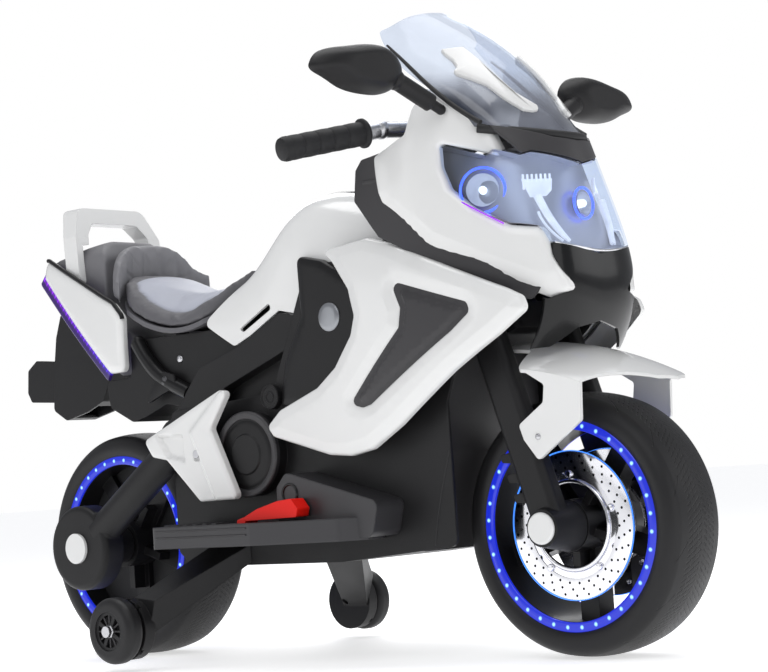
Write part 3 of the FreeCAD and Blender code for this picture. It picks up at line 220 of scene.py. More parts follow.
# %% Floor and white room
floor_mat, _, floor_bsdf = shader("floor")
floor_bsdf.inputs["Base Color"].default_value = (0.93, 0.93, 0.93, 1)
floor_bsdf.inputs["Roughness"].default_value = 0.6
floor_bsdf.inputs["Specular IOR Level"].default_value = 0.2
floor_bsdf.inputs["Emission Color"].default_value = (1, 1, 1, 1)
floor_bsdf.inputs["Emission Strength"].default_value = 0.6
bpy.ops.mesh.primitive_plane_add(size=60, location=(0, 0, -0.0005))
floor = bpy.context.object
floor.name = "floor"
floor.data.materials.append(floor_mat)

world = bpy.data.worlds.new("studio")
bpy.context.scene.world = world
world.use_nodes = True
sky = world.node_tree
sky.nodes.clear()
room = node(sky, "ShaderNodeBackground", Strength=0.4)
room.inputs["Color"].default_value = (0.93, 0.95, 1.0, 1)
paper = node(sky, "ShaderNodeBackground", Strength=1.0)
paper.inputs["Color"].default_value = (1, 1, 1, 1)
seen = node(sky, "ShaderNodeLightPath").outputs
both = node(sky, "ShaderNodeMixShader")
sky.links.new(maths(sky, "MAXIMUM", seen["Is Camera Ray"], seen["Is Transmission Ray"]), both.inputs["Fac"])
sky.links.new(room.outputs[0], both.inputs[1])
sky.links.new(paper.outputs[0], both.inputs[2])
sky.links.new(both.outputs[0], node(sky, "ShaderNodeOutputWorld").inputs["Surface"])
print("floor", round(floor.dimensions.x), "m wide")


# %% Softboxes
def softbox(name, place, aim, width, height, power):
    data = bpy.data.lights.new(name, "AREA")
    data.shape = "RECTANGLE"
    data.size, data.size_y, data.energy = width, height, power
    lamp = bpy.data.objects.new(name, data)
    bpy.context.collection.objects.link(lamp)
    lamp.location = place
    lamp.rotation_euler = (Vector(aim) - Vector(place)).to_track_quat("-Z", "Y").to_euler()


softbox("key", (1.2, -2.2, 2.6), (0.0, 0.0, 0.35), 2.2, 1.6, 19)
softbox("overhead", (-0.2, 0.3, 3.2), (0.0, 0.0, 0.4), 3.0, 2.2, 50)
softbox("front_fill", (3.2, -0.4, 1.0), (0.3, 0.0, 0.4), 1.6, 1.8, 9)
softbox("side_fill", (-1.8, -2.6, 1.0), (-0.2, 0.0, 0.35), 1.8, 1.6, 7)
softbox("back_rim", (-1.8, 2.2, 2.0), (0.0, 0.0, 0.4), 1.6, 1.6, 20)
softbox("left_fill", (2.6, 2.2, 1.5), (0.35, 0.1, 0.5), 1.4, 1.6, 8)
print("softboxes:", len(bpy.data.lights))

# %% [markdown]
# ## Tools for simple shapes
# Many small parts are turned, cut from plate or bent from bar. A lathe tool turns a profile, a slab tool
# gives an outline some thickness and softens its edges, and a pipe tool sweeps a circle along points.
# Blender's own primitives would need as many steps, and they carry no map in metres, which the tread and
# the lit rings use.


# %% Turned shapes
def finished(name, data, material, body, sharp=None):
    """Makes an object of a mesh and puts it on its body. Edges over the sharp angle stay hard."""
    data.materials.clear()
    data.materials.append(material)
    obj = bpy.data.objects.new(name, data)
    bpy.context.collection.objects.link(obj)
    if sharp:
        data.shade_smooth()
        data.set_sharp_from_angle(angle=math.radians(sharp))
    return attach(obj, body)


def add_mesh(name, verts, faces, material, body, sharp=38):
    data = bpy.data.meshes.new(name)
    data.from_pydata([tuple(v) for v in verts], [], [tuple(f) for f in faces])
    data.validate()
    return finished(name, data, material, body, sharp)


def lathe(name, profile, centre, material, body, steps=160, axis=(0, 1, 0), closed=False):
    """Turns a profile of (radius, distance along the axis) about an axis through the centre.
    It keeps a UV map: metres round the widest part, and metres along the profile."""
    axis = Vector(axis).normalized()
    turned = sum(h0 * r1 - h1 * r0 for (r0, h0), (r1, h1) in zip(profile, profile[1:] + profile[:1]))
    profile = list(profile) if turned > 0 else list(profile)[::-1]
    side = axis.orthogonal().normalized() if abs(axis.y) < 0.99 else Vector((1, 0, 0))
    other = side.cross(axis)
    count = len(profile)
    verts, faces = [], []
    for i in range(steps):
        a = 2 * math.pi * i / steps
        out = side * math.cos(a) + other * math.sin(a)
        verts += [Vector(centre) + out * r + axis * h for r, h in profile]
    for i in range(steps):
        here, there = i * count, (i + 1) % steps * count
        for k in range(count if closed else count - 1):
            after = (k + 1) % count
            faces.append((here + k, there + k, there + after, here + after))
    obj = add_mesh(name, verts, faces, material, body)
    run = [0.0]
    for (r0, h0), (r1, h1) in zip(profile, profile[1:] + profile[:1]):
        run.append(run[-1] + math.hypot(r1 - r0, h1 - h0))
    wide = max(r for r, h in profile)
    uv = obj.data.uv_layers.new(name="turn")
    for poly in obj.data.polygons:
        i, k = divmod(poly.vertices[0], count)
        for loop, vertex in zip(poly.loop_indices, poly.vertices):
            step, at = divmod(vertex, count)
            step = steps if i == steps - 1 and step == 0 else step
            at = count if closed and k == count - 1 and at == 0 else at
            uv.data[loop].uv = (2 * math.pi * wide * step / steps, run[at])
    return obj


# %% Plates
def rounded(points, radius, bits=5):
    """A closed outline of 2-D points with its corners turned into short arcs."""
    made = []
    count = len(points)
    for i, p in enumerate(points):
        p = Vector(p)
        back, on = Vector(points[i - 1]) - p, Vector(points[(i + 1) % count]) - p
        half = back.angle(on) / 2
        reach = min(radius / math.tan(half), 0.45 * min(back.length, on.length))
        start, end = p + back.normalized() * reach, p + on.normalized() * reach
        for k in range(bits + 1):
            t = k / bits
            made.append((1 - t) ** 2 * start + 2 * t * (1 - t) * p + t * t * end)
    return made


def slab(name, points, place, thickness, material, body, bevel=0.002, radius=0.006):
    """A plate: an outline put in space by a function of (a, b, c), with its thickness along c."""
    flat = rounded(points, radius)
    bm = bmesh.new()
    face = bm.faces.new([bm.verts.new(place(*p, 0.0)) for p in flat])
    made = bmesh.ops.extrude_face_region(bm, geom=[face])
    middle = np.mean(flat, axis=0)
    push = place(*middle, thickness) - place(*middle, 0)
    for v in made["geom"]:
        if isinstance(v, bmesh.types.BMVert):
            v.co += push
    bmesh.ops.recalc_face_normals(bm, faces=bm.faces)
    edges = [e for e in bm.edges if len(e.link_faces) == 2 and e.calc_face_angle() > 0.9]
    bmesh.ops.bevel(bm, geom=edges, offset=bevel, segments=3, profile=0.5, affect="EDGES")
    data = bpy.data.meshes.new(name)
    bm.to_mesh(data)
    bm.free()
    return finished(name, data, material, body, 30)


# %% Bars
def pipe(name, points, radius, material, body, sides=24, bent=False):
    """A round bar through points, or bent smoothly along them. The radius may be a list."""
    curve = bpy.data.curves.new(name, "CURVE")
    curve.dimensions = "3D"
    curve.bevel_depth = 1.0
    curve.bevel_resolution = sides // 4
    curve.use_fill_caps = True
    line = curve.splines.new("NURBS" if bent else "POLY")
    line.points.add(len(points) - 1)
    radii = radius if isinstance(radius, (list, tuple)) else [radius] * len(points)
    for spot, p, r in zip(line.points, points, radii):
        spot.co = (*p, 1)
        spot.radius = r
    if bent:
        line.order_u = 4
        line.use_endpoint_u = True
        curve.resolution_u = 16
    holder = bpy.data.objects.new(name + "_line", curve)
    bpy.context.collection.objects.link(holder)
    bpy.context.view_layer.update()
    data = bpy.data.meshes.new_from_object(holder.evaluated_get(bpy.context.evaluated_depsgraph_get()))
    bpy.data.objects.remove(holder)
    data.name = name
    return finished(name, data, material, body, 40)


print("tools ready: lathe, slab, pipe")

# %% [markdown]
# ## Tools for panels
# A moulded panel is the same thing every time: an outline, a gently curved face inside it, and an edge that
# rolls away so that it catches a thin line of light. Each panel's solid already knows its outline and its
# face. So these tools read the triangles that face outwards, walk round their border to get the outline,
# fit a smooth polynomial through their heights, and mesh the inside again with rows of points close to the
# border. Modelling each panel by hand with a subdivision cage would work too, but it would drift from the
# solids.


# %% Reading a solid's face
def facing_triangles(name, out, side=0, least=0.3):
    """The welded points of a solid, and its triangles that face a direction, on one side or both."""
    data = nodes[name].data
    data.calc_loop_triangles()
    points = np.array([v.co for v in data.vertices])
    keys, index = np.unique(np.round(points, 5), axis=0, return_inverse=True)
    index = index.ravel()
    tris = np.array([[index[i] for i in t.vertices] for t in data.loop_triangles])
    corners = keys[tris]
    normal = np.cross(corners[:, 1] - corners[:, 0], corners[:, 2] - corners[:, 0])
    length = np.linalg.norm(normal, axis=1)
    good = length > 1e-12
    good &= (normal @ np.array(out)) > least * length
    if side:
        good &= corners[:, :, 1].mean(axis=1) * side > 0
    return keys, tris[good]


def border_loops(tris):
    """The closed loops of edges that belong to one triangle only, longest first."""
    once = {}
    for a, b, c in tris:
        for edge in ((a, b), (b, c), (c, a)):
            if (edge[1], edge[0]) in once:
                del once[edge[1], edge[0]]
            else:
                once[edge] = True
    after = {a: b for a, b in once}
    loops = []
    while after:
        start, nxt = after.popitem()
        loop = [start]
        while nxt in after and nxt != start:
            loop.append(nxt)
            nxt = after.pop(nxt)
        loops.append(loop)
    return sorted(loops, key=len, reverse=True)


# %% Measuring outlines
def resample(points, step):
    """The same closed line with points an even step apart."""
    closed = np.vstack([points, points[:1]])
    run = np.concatenate([[0], np.cumsum(np.linalg.norm(np.diff(closed, axis=0), axis=1))])
    count = max(12, int(run[-1] / step))
    at = np.linspace(0, run[-1], count, endpoint=False)
    return np.stack([np.interp(at, run, closed[:, i]) for i in range(2)], axis=1)


def inside(points, loop):
    """Which points lie inside a closed loop."""
    x, y = points[:, 0][:, None], points[:, 1][:, None]
    x0, y0 = loop[:, 0], loop[:, 1]
    x1, y1 = np.roll(x0, -1), np.roll(y0, -1)
    crosses = (y0 > y) != (y1 > y)
    with np.errstate(divide="ignore", invalid="ignore"):
        at = x0 + (y - y0) * (x1 - x0) / (y1 - y0)
    return (np.sum(crosses & (x < at), axis=1) % 2) == 1


def within(points, loops):
    """Which points lie inside the first loop and outside the others, which are its holes."""
    good = inside(points, loops[0])
    for hole in loops[1:]:
        good &= ~inside(points, hole)
    return good


def gap_to(points, loops):
    """The distance from each point to the nearest border, worked out for a batch of points at a time."""
    best = np.full(len(points), 1e9)
    batch = 400
    for loop in loops:
        a, b = loop, np.roll(loop, -1, axis=0)
        d = b - a
        for k in range(0, len(points), batch):
            p = points[k:k + batch][:, None]
            t = np.clip(np.sum((p - a) * d, axis=2) / np.maximum(np.sum(d * d, axis=1), 1e-12), 0, 1)
            gap = np.linalg.norm(p - (a + t[..., None] * d), axis=2).min(axis=1)
            best[k:k + batch] = np.minimum(best[k:k + batch], gap)
    return best


# %% Points and triangles for a panel
OUTLINE_STEP = 0.003
DEGREE = 5
ROLL_ROWS = (0.12, 0.35, 0.65, 1.0, 1.6)


def smooth_face(flat, height):
    """A polynomial through the heights of a face, as a function, and how far off it is at most."""
    centre, scale = flat.mean(axis=0), np.ptp(flat, axis=0).max() / 2

    def terms(points):
        u, v = ((points - centre) / scale).T
        return np.stack([u ** i * v ** j for i in range(DEGREE + 1) for j in range(DEGREE + 1 - i)], axis=1)
    fit = np.linalg.lstsq(terms(flat), height, rcond=None)[0]
    return lambda points: terms(points) @ fit, np.abs(terms(flat) @ fit - height).max()


def net(loops, roll, bands, grid):
    """Points for a mesh: the outline itself, rows of points beside it, and a grid further in."""
    rows = []
    for loop in loops:
        tangent = np.roll(loop, -1, axis=0) - np.roll(loop, 1, axis=0)
        normal = np.stack([-tangent[:, 1], tangent[:, 0]], axis=1)
        normal /= np.maximum(np.linalg.norm(normal, axis=1, keepdims=True), 1e-9)
        for reach in [roll * share for share in ROLL_ROWS] + list(bands):
            for sign in (1, -1):
                row = loop + normal * reach * sign
                rows.append(row[gap_to(row, loops) > 0.92 * reach])
    lo, hi = loops[0].min(axis=0), loops[0].max(axis=0)
    us, vs = np.arange(lo[0], hi[0], grid), np.arange(lo[1], hi[1], grid)
    mesh = np.stack(np.meshgrid(us, vs), axis=-1).reshape(-1, 2)
    extra = np.vstack(rows + [mesh[gap_to(mesh, loops) > roll * 2.2]])
    return np.vstack(loops + [extra[within(extra, loops)]])


def meshed(points, loops):
    """Triangles between points, kept inside the outline that the first points make."""
    edges, start = [], 0
    for loop in loops:
        n = len(loop)
        edges += [(start + i, start + (i + 1) % n) for i in range(n)]
        start += n
    made = delaunay_2d_cdt([Vector(p) for p in points], edges, [], 0, 1e-7)
    flat = np.array([tuple(p) for p in made[0]])
    middles = np.array([flat[list(f)].mean(axis=0) for f in made[2]])
    return flat, [tuple(f) for f, good in zip(made[2], within(middles, loops)) if good]


# %% The panel itself
def skirted(verts, faces, drop):
    """Gives a sheet a wall along its open edges."""
    verts = [tuple(v) for v in verts]
    rim = dict.fromkeys((a, b) for f in faces for a, b in zip(f, f[1:] + f[:1]))
    below, wall = {}, []
    for a, b in rim:
        if (b, a) in rim:
            continue
        for i in (a, b):
            if i not in below:
                below[i] = len(verts)
                verts.append(tuple(Vector(verts[i]) - drop))
        wall.append((b, a, below[a], below[b]))
    return verts, faces + wall


def panel(name, solid, out, across, material, body, roll, depth, side=0, grid=0.008, relief=None, bands=()):
    """A panel with a rolled edge over the outward face of a solid. relief(u, v, gap) may raise parts of it,
    and bands are distances from the border that get a row of points, so that a crease there is sharp."""
    out, across = Vector(out), Vector(across)
    basis = np.array([across, out.cross(across), out])
    keys, tris = facing_triangles(solid, out, side)
    local = keys @ basis.T
    loops = [local[loop][:, :2] for loop in border_loops(tris)]
    sizes = [np.ptp(loop, axis=0).max() for loop in loops]
    least = max(0.02, 0.12 * max(sizes))
    loops = [resample(loop, OUTLINE_STEP) for loop, wide in zip(loops, sizes) if wide > least]
    used = local[np.unique(tris)]
    height, off = smooth_face(used[:, :2], used[:, 2])
    flat, faces = meshed(net(loops, roll, bands, grid), loops)
    gap = gap_to(flat, loops)
    w = height(flat) - np.where(gap < roll, roll - np.sqrt(np.maximum(roll ** 2 - (roll - gap) ** 2, 0)), 0)
    if relief:
        w = w + relief(flat[:, 0], flat[:, 1], gap)
    verts, faces = skirted(np.column_stack([flat, w]) @ basis, faces, out * max(depth - roll, 0.0005))
    print(f"{name}: {len(verts)} points, {len(loops)} outlines, fit within {off * 1000:.2f} mm")
    return add_mesh(name, verts, faces, material, body)


# %% [markdown]
# ## Plain solids first
# Most small solids already have their final shape. They get the material of their slot, with the edges
# softened in the shader. The larger coverings are built again below, and each one says which solid it
# stands for.


# %% Dress the solids by slot
def dress(material, *names):
    """Gives solids that stay as they are a material and smooth shading."""
    for name in names:
        data = nodes[name].data
        data.materials.clear()
        data.materials.append(material)
        data.shade_smooth()
        data.set_sharp_from_angle(angle=math.radians(28))


BOARD = moulded("board_grey", (0.030, 0.029, 0.032), 0.4, grain=0.3, scale=1300, tone=0.1, soft_edge=0.003)
slot_of = {row["node"]: row["material_slot"] for row in frame["record"]["subparts"]}
for name, slot in slot_of.items():
    dress(by_slot.get(slot, BLACK), name)
dress(STEEL, "handlebar")
dress(BOARD, "footboards")
dress(GREY, "dashboard")
dress(PIANO, "chin_panel")
print("dressed", len(slot_of), "solids")

# %% [markdown]
# ## White coverings
# On the bike these are thin glossy mouldings clipped over the dark frame, with a wide bevelled margin. A
# relief function lowers a covering near its border for that margin, and another one lowers it along a
# line, for a chamfer on one edge only. A bevel modifier would treat the whole border alike.


# %% Covering helpers
def gap_to_line(x, z, line):
    """The distance from points to an open line of (x, z) points."""
    points = np.stack([x, z], axis=1)
    best = np.full(len(points), 1e9)
    for a, b in zip(np.array(line), np.array(line[1:])):
        t = np.clip((points - a) @ (b - a) / np.sum((b - a) ** 2), 0, 1)
        best = np.minimum(best, np.linalg.norm(points - (a + t[:, None] * (b - a)), axis=1))
    return best


def margin(width, fall):
    return lambda x, z, gap: -fall * np.clip(1 - gap / width, 0, 1)


def chamfer(line, width, fall):
    return lambda x, z, gap: -fall * np.clip(1 - gap_to_line(x, z, line) / width, 0, 1)


def together(*reliefs):
    return lambda x, z, gap: sum(relief(x, z, gap) for relief in reliefs)


def pair(name, right_node, left_node, material, relief=None, **values):
    """The same covering on both sides of the bike. A node that holds both sides is given twice."""
    for sign, side, solid in ((1, "right", right_node), (-1, "left", left_node)):
        shaped = (lambda u, v, gap, s=sign: relief(u * s, v, gap)) if relief else None
        half = -sign if right_node == left_node else 0
        obj = panel(f"{name}_{side}", solid, (0, -sign, 0), (sign, 0, 0), material, "chassis", side=half,
                    relief=shaped, **values)
        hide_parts(solid)


# %% Side fairings, nose fairings and tail panels
pair("fairing_cover", "side_fairing_right", "side_fairing_left", WHITE, margin(0.015, 0.0045),
     roll=0.0035, depth=0.009, bands=(0.0142, 0.0158))
nose_foot = [(0.459, 0.414), (0.440, 0.404), (0.296, 0.473), (0.237, 0.525)]
nose_relief = together(margin(0.008, 0.002), chamfer(nose_foot, 0.024, 0.007))
pair("nose_cover", "nose_fairing_right", "nose_fairing_left", WHITE, nose_relief,
     roll=0.0035, depth=0.009, bands=(0.0235, 0.0255))
tail_face = [(-0.432, 0.549), (-0.440, 0.522), (-0.298, 0.379)]
tail_relief = together(margin(0.009, 0.003), chamfer(tail_face, 0.014, 0.003))
pair("tail_cover", "tail_panel_right", "tail_panel_left", WHITE, tail_relief,
     roll=0.003, depth=0.008, bands=(0.0085, 0.0095, 0.0145))

# %% [markdown]
# ## Heel plates
# The plate beside the rider's heel has a sunk pocket, a screw hole and a step across it. Cutting them with
# booleans would leave hard edges, so they are reliefs too, on a finer grid that can follow them.


# %% Heel plates
def sunk(outline, depth, slope):
    """Lowers the inside of an outline to a floor."""
    loop = resample(np.array(outline), 0.002)

    def relief(x, z, gap):
        spots = np.stack([x, z], axis=1)
        return -depth * np.clip(np.where(inside(spots, loop), gap_to(spots, [loop]), 0) / slope, 0, 1)
    return relief


def step_up(line, rise, slope):
    """Raises everything ahead of a line that runs from low to high."""
    xs, zs = zip(*line)
    return lambda x, z, gap: rise * np.clip((x - np.interp(z, zs, xs)) / slope, 0, 1)


def circle(radius, count, a=0.0, b=0.0):
    """Points on a circle about a place."""
    turns = np.linspace(0, 2 * math.pi, count, endpoint=False)
    return [(a + radius * math.cos(t), b + radius * math.sin(t)) for t in turns]


heel_pocket = [(-0.165, 0.291), (-0.111, 0.288), (-0.109, 0.252), (-0.142, 0.260)]
heel_crease = [(-0.057, 0.200), (-0.098, 0.290), (-0.036, 0.340)]
heel_hole = circle(0.0055, 16, -0.088, 0.258)
heel_relief = together(margin(0.006, 0.0015), sunk(heel_pocket, 0.006, 0.004), sunk(heel_hole, 0.004, 0.002),
                       step_up(heel_crease, 0.0035, 0.005))
pair("heel_cover", "heel_plates", "heel_plates", WHITE, heel_relief,
     roll=0.0025, depth=0.009, bands=(0.0058,), grid=0.0028)

# %% [markdown]
# ## Dark side panels
# The knee panels are satin black with a bevelled border. The inserts in the fairings are grained grey
# plates with a raised field, which is a margin turned upside down: a step at an even distance from the
# border.

# %% Knee panels and fairing inserts
pair("knee_cover", "knee_panels", "knee_panels", SATIN, margin(0.010, 0.003),
     roll=0.003, depth=0.008, bands=(0.0095,))
pair("insert_cover", "fairing_inserts", "fairing_inserts", GREY,
     lambda x, z, gap: 0.003 * np.clip((gap - 0.011) / 0.003, 0, 1),
     roll=0.002, depth=0.006, bands=(0.0105, 0.0145), grid=0.006)

# %% [markdown]
# ## The front wheel's well
# Behind the front wheel a bike has a plastic liner, which keeps the dirt off the frame. Here it is one bent
# sheet that follows the tyre at an even gap and then runs straight up. A dark thin bar beside it draws the
# seam between two mouldings, which is simpler than cutting a groove into both.

# %% The well's lining and its seam
WELL_RADIUS = 0.172
WELL_HALF = 0.0955


def net_faces(rows, columns):
    """The faces of a sheet whose points are listed row by row."""
    firsts = [i * columns + j for i in range(rows - 1) for j in range(columns - 1)]
    return [(a, a + columns, a + columns + 1, a + 1) for a in firsts]


turns = [math.radians(a) for a in range(187, 142, -3)]
arch = [(FRONT.x + WELL_RADIUS * math.cos(a), FRONT.z + WELL_RADIUS * math.sin(a)) for a in turns]
arch += [(0.281, 0.300), (0.279, 0.400), (0.268, 0.450)]
rows = [(x, y, z) for x, z in arch for y in (WELL_HALF, 0.03, -0.03, -WELL_HALF)]
add_mesh("well_lining", rows, net_faces(len(arch), 4), GREY, "chassis")
seam = [(0.2985, 0.244), (0.2872, 0.2125), (0.2770, 0.1800), (0.2700, 0.1510), (0.2683, 0.1352)]
for side, word in SIDES:
    line = [(x, side * 0.0998, z) for x, z in seam]
    pipe(f"well_seam_{word}", line, 0.0011, INNER, "chassis", 8, bent=True)
print("lining of", len(arch), "rows")

# %% [markdown]
# ## Tail strips
# Each tail panel carries a lit strip, violet at the top and blue at the foot, with a row of brighter lamps
# in it. The colour follows the height, the lamps are a wave along the strip, and a ramp across it keeps its
# outer edge dark. Real lamps would cost far more light samples for the same look. A satin bar seams the
# panel's top edge.


# %% The glow of the strips
def parts_of(tree, vector):
    """The x, y and z of a linked vector."""
    made = node(tree, "ShaderNodeSeparateXYZ")
    tree.links.new(vector, made.inputs[0])
    return made.outputs["X"], made.outputs["Y"], made.outputs["Z"]


def strip_light(pitch):
    mat, tree, bsdf = shader("strip_glow")
    x, y, z = parts_of(tree, object_place(tree))
    height = ramp(tree, z, 0.37, 0.50, kind="LINEAR")
    tree.links.new(mix(tree, height, (0.05, 0.02, 0.9), (0.32, 0.01, 0.95)), bsdf.inputs["Emission Color"])
    turn = maths(tree, "MULTIPLY", maths(tree, "SUBTRACT", x, z), 2 * math.pi / pitch)
    dots = ramp(tree, maths(tree, "SINE", turn), 0.7, 1.0, 0.45, 1.5)
    lit = ramp(tree, maths(tree, "ADD", x, z), 0.0765, 0.0840, 0.03, 1.0)
    tree.links.new(maths(tree, "MULTIPLY", dots, lit), bsdf.inputs["Emission Strength"])
    bsdf.inputs["Base Color"].default_value = (0.03, 0.01, 0.12, 1)
    bsdf.inputs["Roughness"].default_value = 0.2
    return mat


pair("strip_cover", "tail_light_strips", "tail_light_strips", strip_light(0.013), roll=0.003, depth=0.006)


# %% The seam on the tail panels' top edge
def turns_up(a, b, c):
    """Whether three points, seen from the side, bend upwards."""
    return (b[0] - a[0]) * (c[2] - a[2]) - (b[2] - a[2]) * (c[0] - a[0]) >= 0


for side, word in SIDES:
    keys, tris = facing_triangles(f"tail_panel_{word}", (0, side, 0))
    top_edge = []
    for spot in sorted(map(tuple, keys[border_loops(tris)[0]])):
        while len(top_edge) > 1 and turns_up(top_edge[-2], top_edge[-1], spot):
            top_edge.pop()
        top_edge.append(spot)
    peak = max(range(len(top_edge)), key=lambda i: top_edge[i][2])
    line = [(x, y - side * 0.003, z + 0.0015) for x, y, z in top_edge[peak:] if z > 0.40]
    pipe(f"tail_seam_{word}", line, 0.003, SATIN, "chassis", 12)
    print("seam of", len(line), "points on the", word)

# %% [markdown]
# ## Wheels
# A tyre is a profile turned about the axle. The turned mesh carries a map in metres, so the tread needs no
# picture: three rows of slanted dashes on each half of the crown and long thin cuts on the flanks are
# repeating ramps of that map, and a bump sinks them. The lit ring works the same way, with a bright dot at
# each lamp.


# %% Patterns on a turned shape
def arc3(a, b, c, count):
    """Points on the circle through three points, from the first to the last."""
    a, b, c = complex(*a), complex(*b), complex(*c)
    w = (c - a) / (b - a)
    middle = (b - a) * (w - abs(w) ** 2) / (2j * w.imag) + a
    start = math.atan2((a - middle).imag, (a - middle).real)
    turn = [(math.atan2((p - middle).imag, (p - middle).real) - start) % (2 * math.pi) for p in (b, c)]
    whole = turn[1] if turn[0] < turn[1] else turn[1] - 2 * math.pi
    radius = abs(a - middle)
    angles = [start + whole * t for t in np.linspace(0, 1, count)]
    return [(middle.real + radius * math.cos(t), middle.imag + radius * math.sin(t)) for t in angles]


def copy_of(mat, name):
    mat = mat.copy()
    mat.name = name
    return mat, mat.node_tree, mat.node_tree.nodes["Principled BSDF"]


def turned_map(tree):
    """The map that a turned shape carries: metres round it, and metres along its profile."""
    return parts_of(tree, node(tree, "ShaderNodeUVMap", uv_map="turn").outputs["UV"])[:2]


def repeat(tree, value, pitch):
    """Counts from 0 to 1 again and again."""
    return maths(tree, "FRACT", maths(tree, "DIVIDE", value, pitch))


def band(tree, value, middle, inner, outer):
    """1 near a middle value, falling to 0 between two distances from it."""
    gap = maths(tree, "ABSOLUTE", maths(tree, "SUBTRACT", value, middle))
    return ramp(tree, gap, inner, outer, 1.0, 0.0)


def spot_at(tree, share, pitch, along, row, inner, outer):
    """A round spot once in each pitch round the shape, on one row of its profile."""
    u = maths(tree, "MULTIPLY", maths(tree, "SUBTRACT", share, 0.5), pitch)
    v = maths(tree, "SUBTRACT", along, row)
    far = maths(tree, "ADD", maths(tree, "MULTIPLY", u, u), maths(tree, "MULTIPLY", v, v))
    return ramp(tree, maths(tree, "SQRT", far), inner, outer, 1.0, 0.0)


# %% Tread and lit dots
def tread_rubber(middle):
    """Tyre rubber whose grooves are cut by the map of the turned profile."""
    mat, tree, bsdf = copy_of(TYRE, "tyre_tread")
    plain = bsdf.inputs["Normal"].links[0].from_socket
    around, along = turned_map(tree)
    off = maths(tree, "ABSOLUTE", maths(tree, "SUBTRACT", along, middle))
    long_slant = maths(tree, "ADD", around, maths(tree, "MULTIPLY", off, 1.6))
    long_cuts = band(tree, repeat(tree, long_slant, 0.062), 0.5, 0.012, 0.024)
    groove = maths(tree, "MULTIPLY", long_cuts, band(tree, off, 0.0335, 0.0060, 0.0070))
    slant = maths(tree, "ADD", around, maths(tree, "MULTIPLY", off, 0.7))
    dashes = band(tree, repeat(tree, slant, 0.0072), 0.5, 0.12, 0.20)
    for row in (0.0050, 0.0130, 0.0210):
        row_cuts = maths(tree, "MULTIPLY", band(tree, off, row, 0.0026, 0.0034), dashes)
        groove = maths(tree, "MAXIMUM", groove, row_cuts)
    cut = node(tree, "ShaderNodeBump", Strength=1.0, Distance=0.0016, invert=True)
    tree.links.new(groove, cut.inputs["Height"])
    tree.links.new(plain, cut.inputs["Normal"])
    tree.links.new(cut.outputs["Normal"], bsdf.inputs["Normal"])
    return mat


def dotted_light(name, pitch, row, deep, bright):
    """A lit ring: an even deep glow with a bright dot at each lamp."""
    mat, tree, bsdf = shader(name)
    around, along = turned_map(tree)
    dot = spot_at(tree, repeat(tree, around, pitch), pitch, along, row, 0.0006, 0.0036)
    tree.links.new(mix(tree, dot, deep, bright), bsdf.inputs["Emission Color"])
    tree.links.new(ramp(tree, dot, 0.0, 1.0, 0.75, 1.9), bsdf.inputs["Emission Strength"])
    bsdf.inputs["Base Color"].default_value = (0.01, 0.015, 0.06, 1)
    bsdf.inputs["Roughness"].default_value = 0.18
    return mat


# %% Tyres and lit rings
RING_RADIUS = 0.1195
RING_LAMPS = 36


def length_of(line):
    return sum(math.dist(a, b) for a, b in zip(line, line[1:]))


def sided(line, side):
    """A profile turned to face one side of the bike."""
    return [(r, h * side) for r, h in line]


flank = arc3((0.1204, 0.0452), (0.1325, 0.0480), (0.1440, 0.0405), 10)
crown = arc3((0.1462, 0.0368), (0.1500, 0.0), (0.1462, -0.0368), 33)
skin_line = flank + crown + sided(flank[::-1], -1)
tyre_line = skin_line + [(0.1165, -0.0408), (0.1165, 0.0408)]
TREAD = tread_rubber(length_of(skin_line) / 2)
ring_line = [(RING_RADIUS, 0.0410), (RING_RADIUS, 0.0440), (0.1180, 0.0452), (0.1140, 0.0456),
             (0.1100, 0.0452), (0.1085, 0.0440), (0.1085, 0.0410)]
ring_pitch = 2 * math.pi * RING_RADIUS / RING_LAMPS
DOTS = dotted_light("led_dots", ring_pitch, length_of(ring_line[:4]), (0.012, 0.03, 0.85), (0.30, 0.65, 1.0))
for name, centre in (("front", FRONT), ("rear", REAR)):
    body = f"{name}_wheel"
    tyre = lathe(f"{name}_tread", tyre_line, centre, TREAD, body, steps=192, closed=True)
    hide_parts(f"{name}_tyre")
    for side, word in SIDES[::-1]:
        ring = lathe(f"{name}_lit_ring_{word}", sided(ring_line, side), centre, DOTS, body, 144, closed=True)
        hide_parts(f"{name}_led_rings")
print("tyres", len(tyre_line), "points round the profile;", RING_LAMPS, "dots on each ring")

# %% [markdown]
# ## Brake discs and the rear wheel's web
# The front wheel has a bright disc on each side, drilled in three staggered rows, with a blue glowing edge,
# five bolts and a raised ring at the hub. The glowing edge is a painted reflection of the wheel's blue
# lamps.
# The holes are dark spots placed by the turned map, painted shade where real holes would be, because real
# holes would need thousands of faces and look the same at this size. A dark web fills the rear rim.


# %% Brake discs and web
DISC_RADIUS = 0.083
DISC_FACE = 0.0362


def drilled(name, rows, count, hole):
    """Bright plate with staggered rows of dark spots, painted shade for holes, given by their place on the
    profile and radius.
    """
    mat, tree, bsdf = copy_of(CHROME, name)
    around, along = turned_map(tree)
    holes = None
    for number, (row, radius) in enumerate(rows):
        turn = maths(tree, "MULTIPLY", around, count / (2 * math.pi * DISC_RADIUS))
        share = maths(tree, "FRACT", maths(tree, "ADD", turn, number / len(rows)))
        spot = spot_at(tree, share, 2 * math.pi * radius / count, along, row, hole * 0.85, hole)
        holes = spot if holes is None else maths(tree, "MAXIMUM", holes, spot)
    plain = bsdf.inputs["Base Color"].links[0].from_socket
    # The dark spots are painted shade where the holes would be.
    tree.links.new(mix(tree, holes, plain, (0.005, 0.005, 0.006)), bsdf.inputs["Base Color"])
    return mat


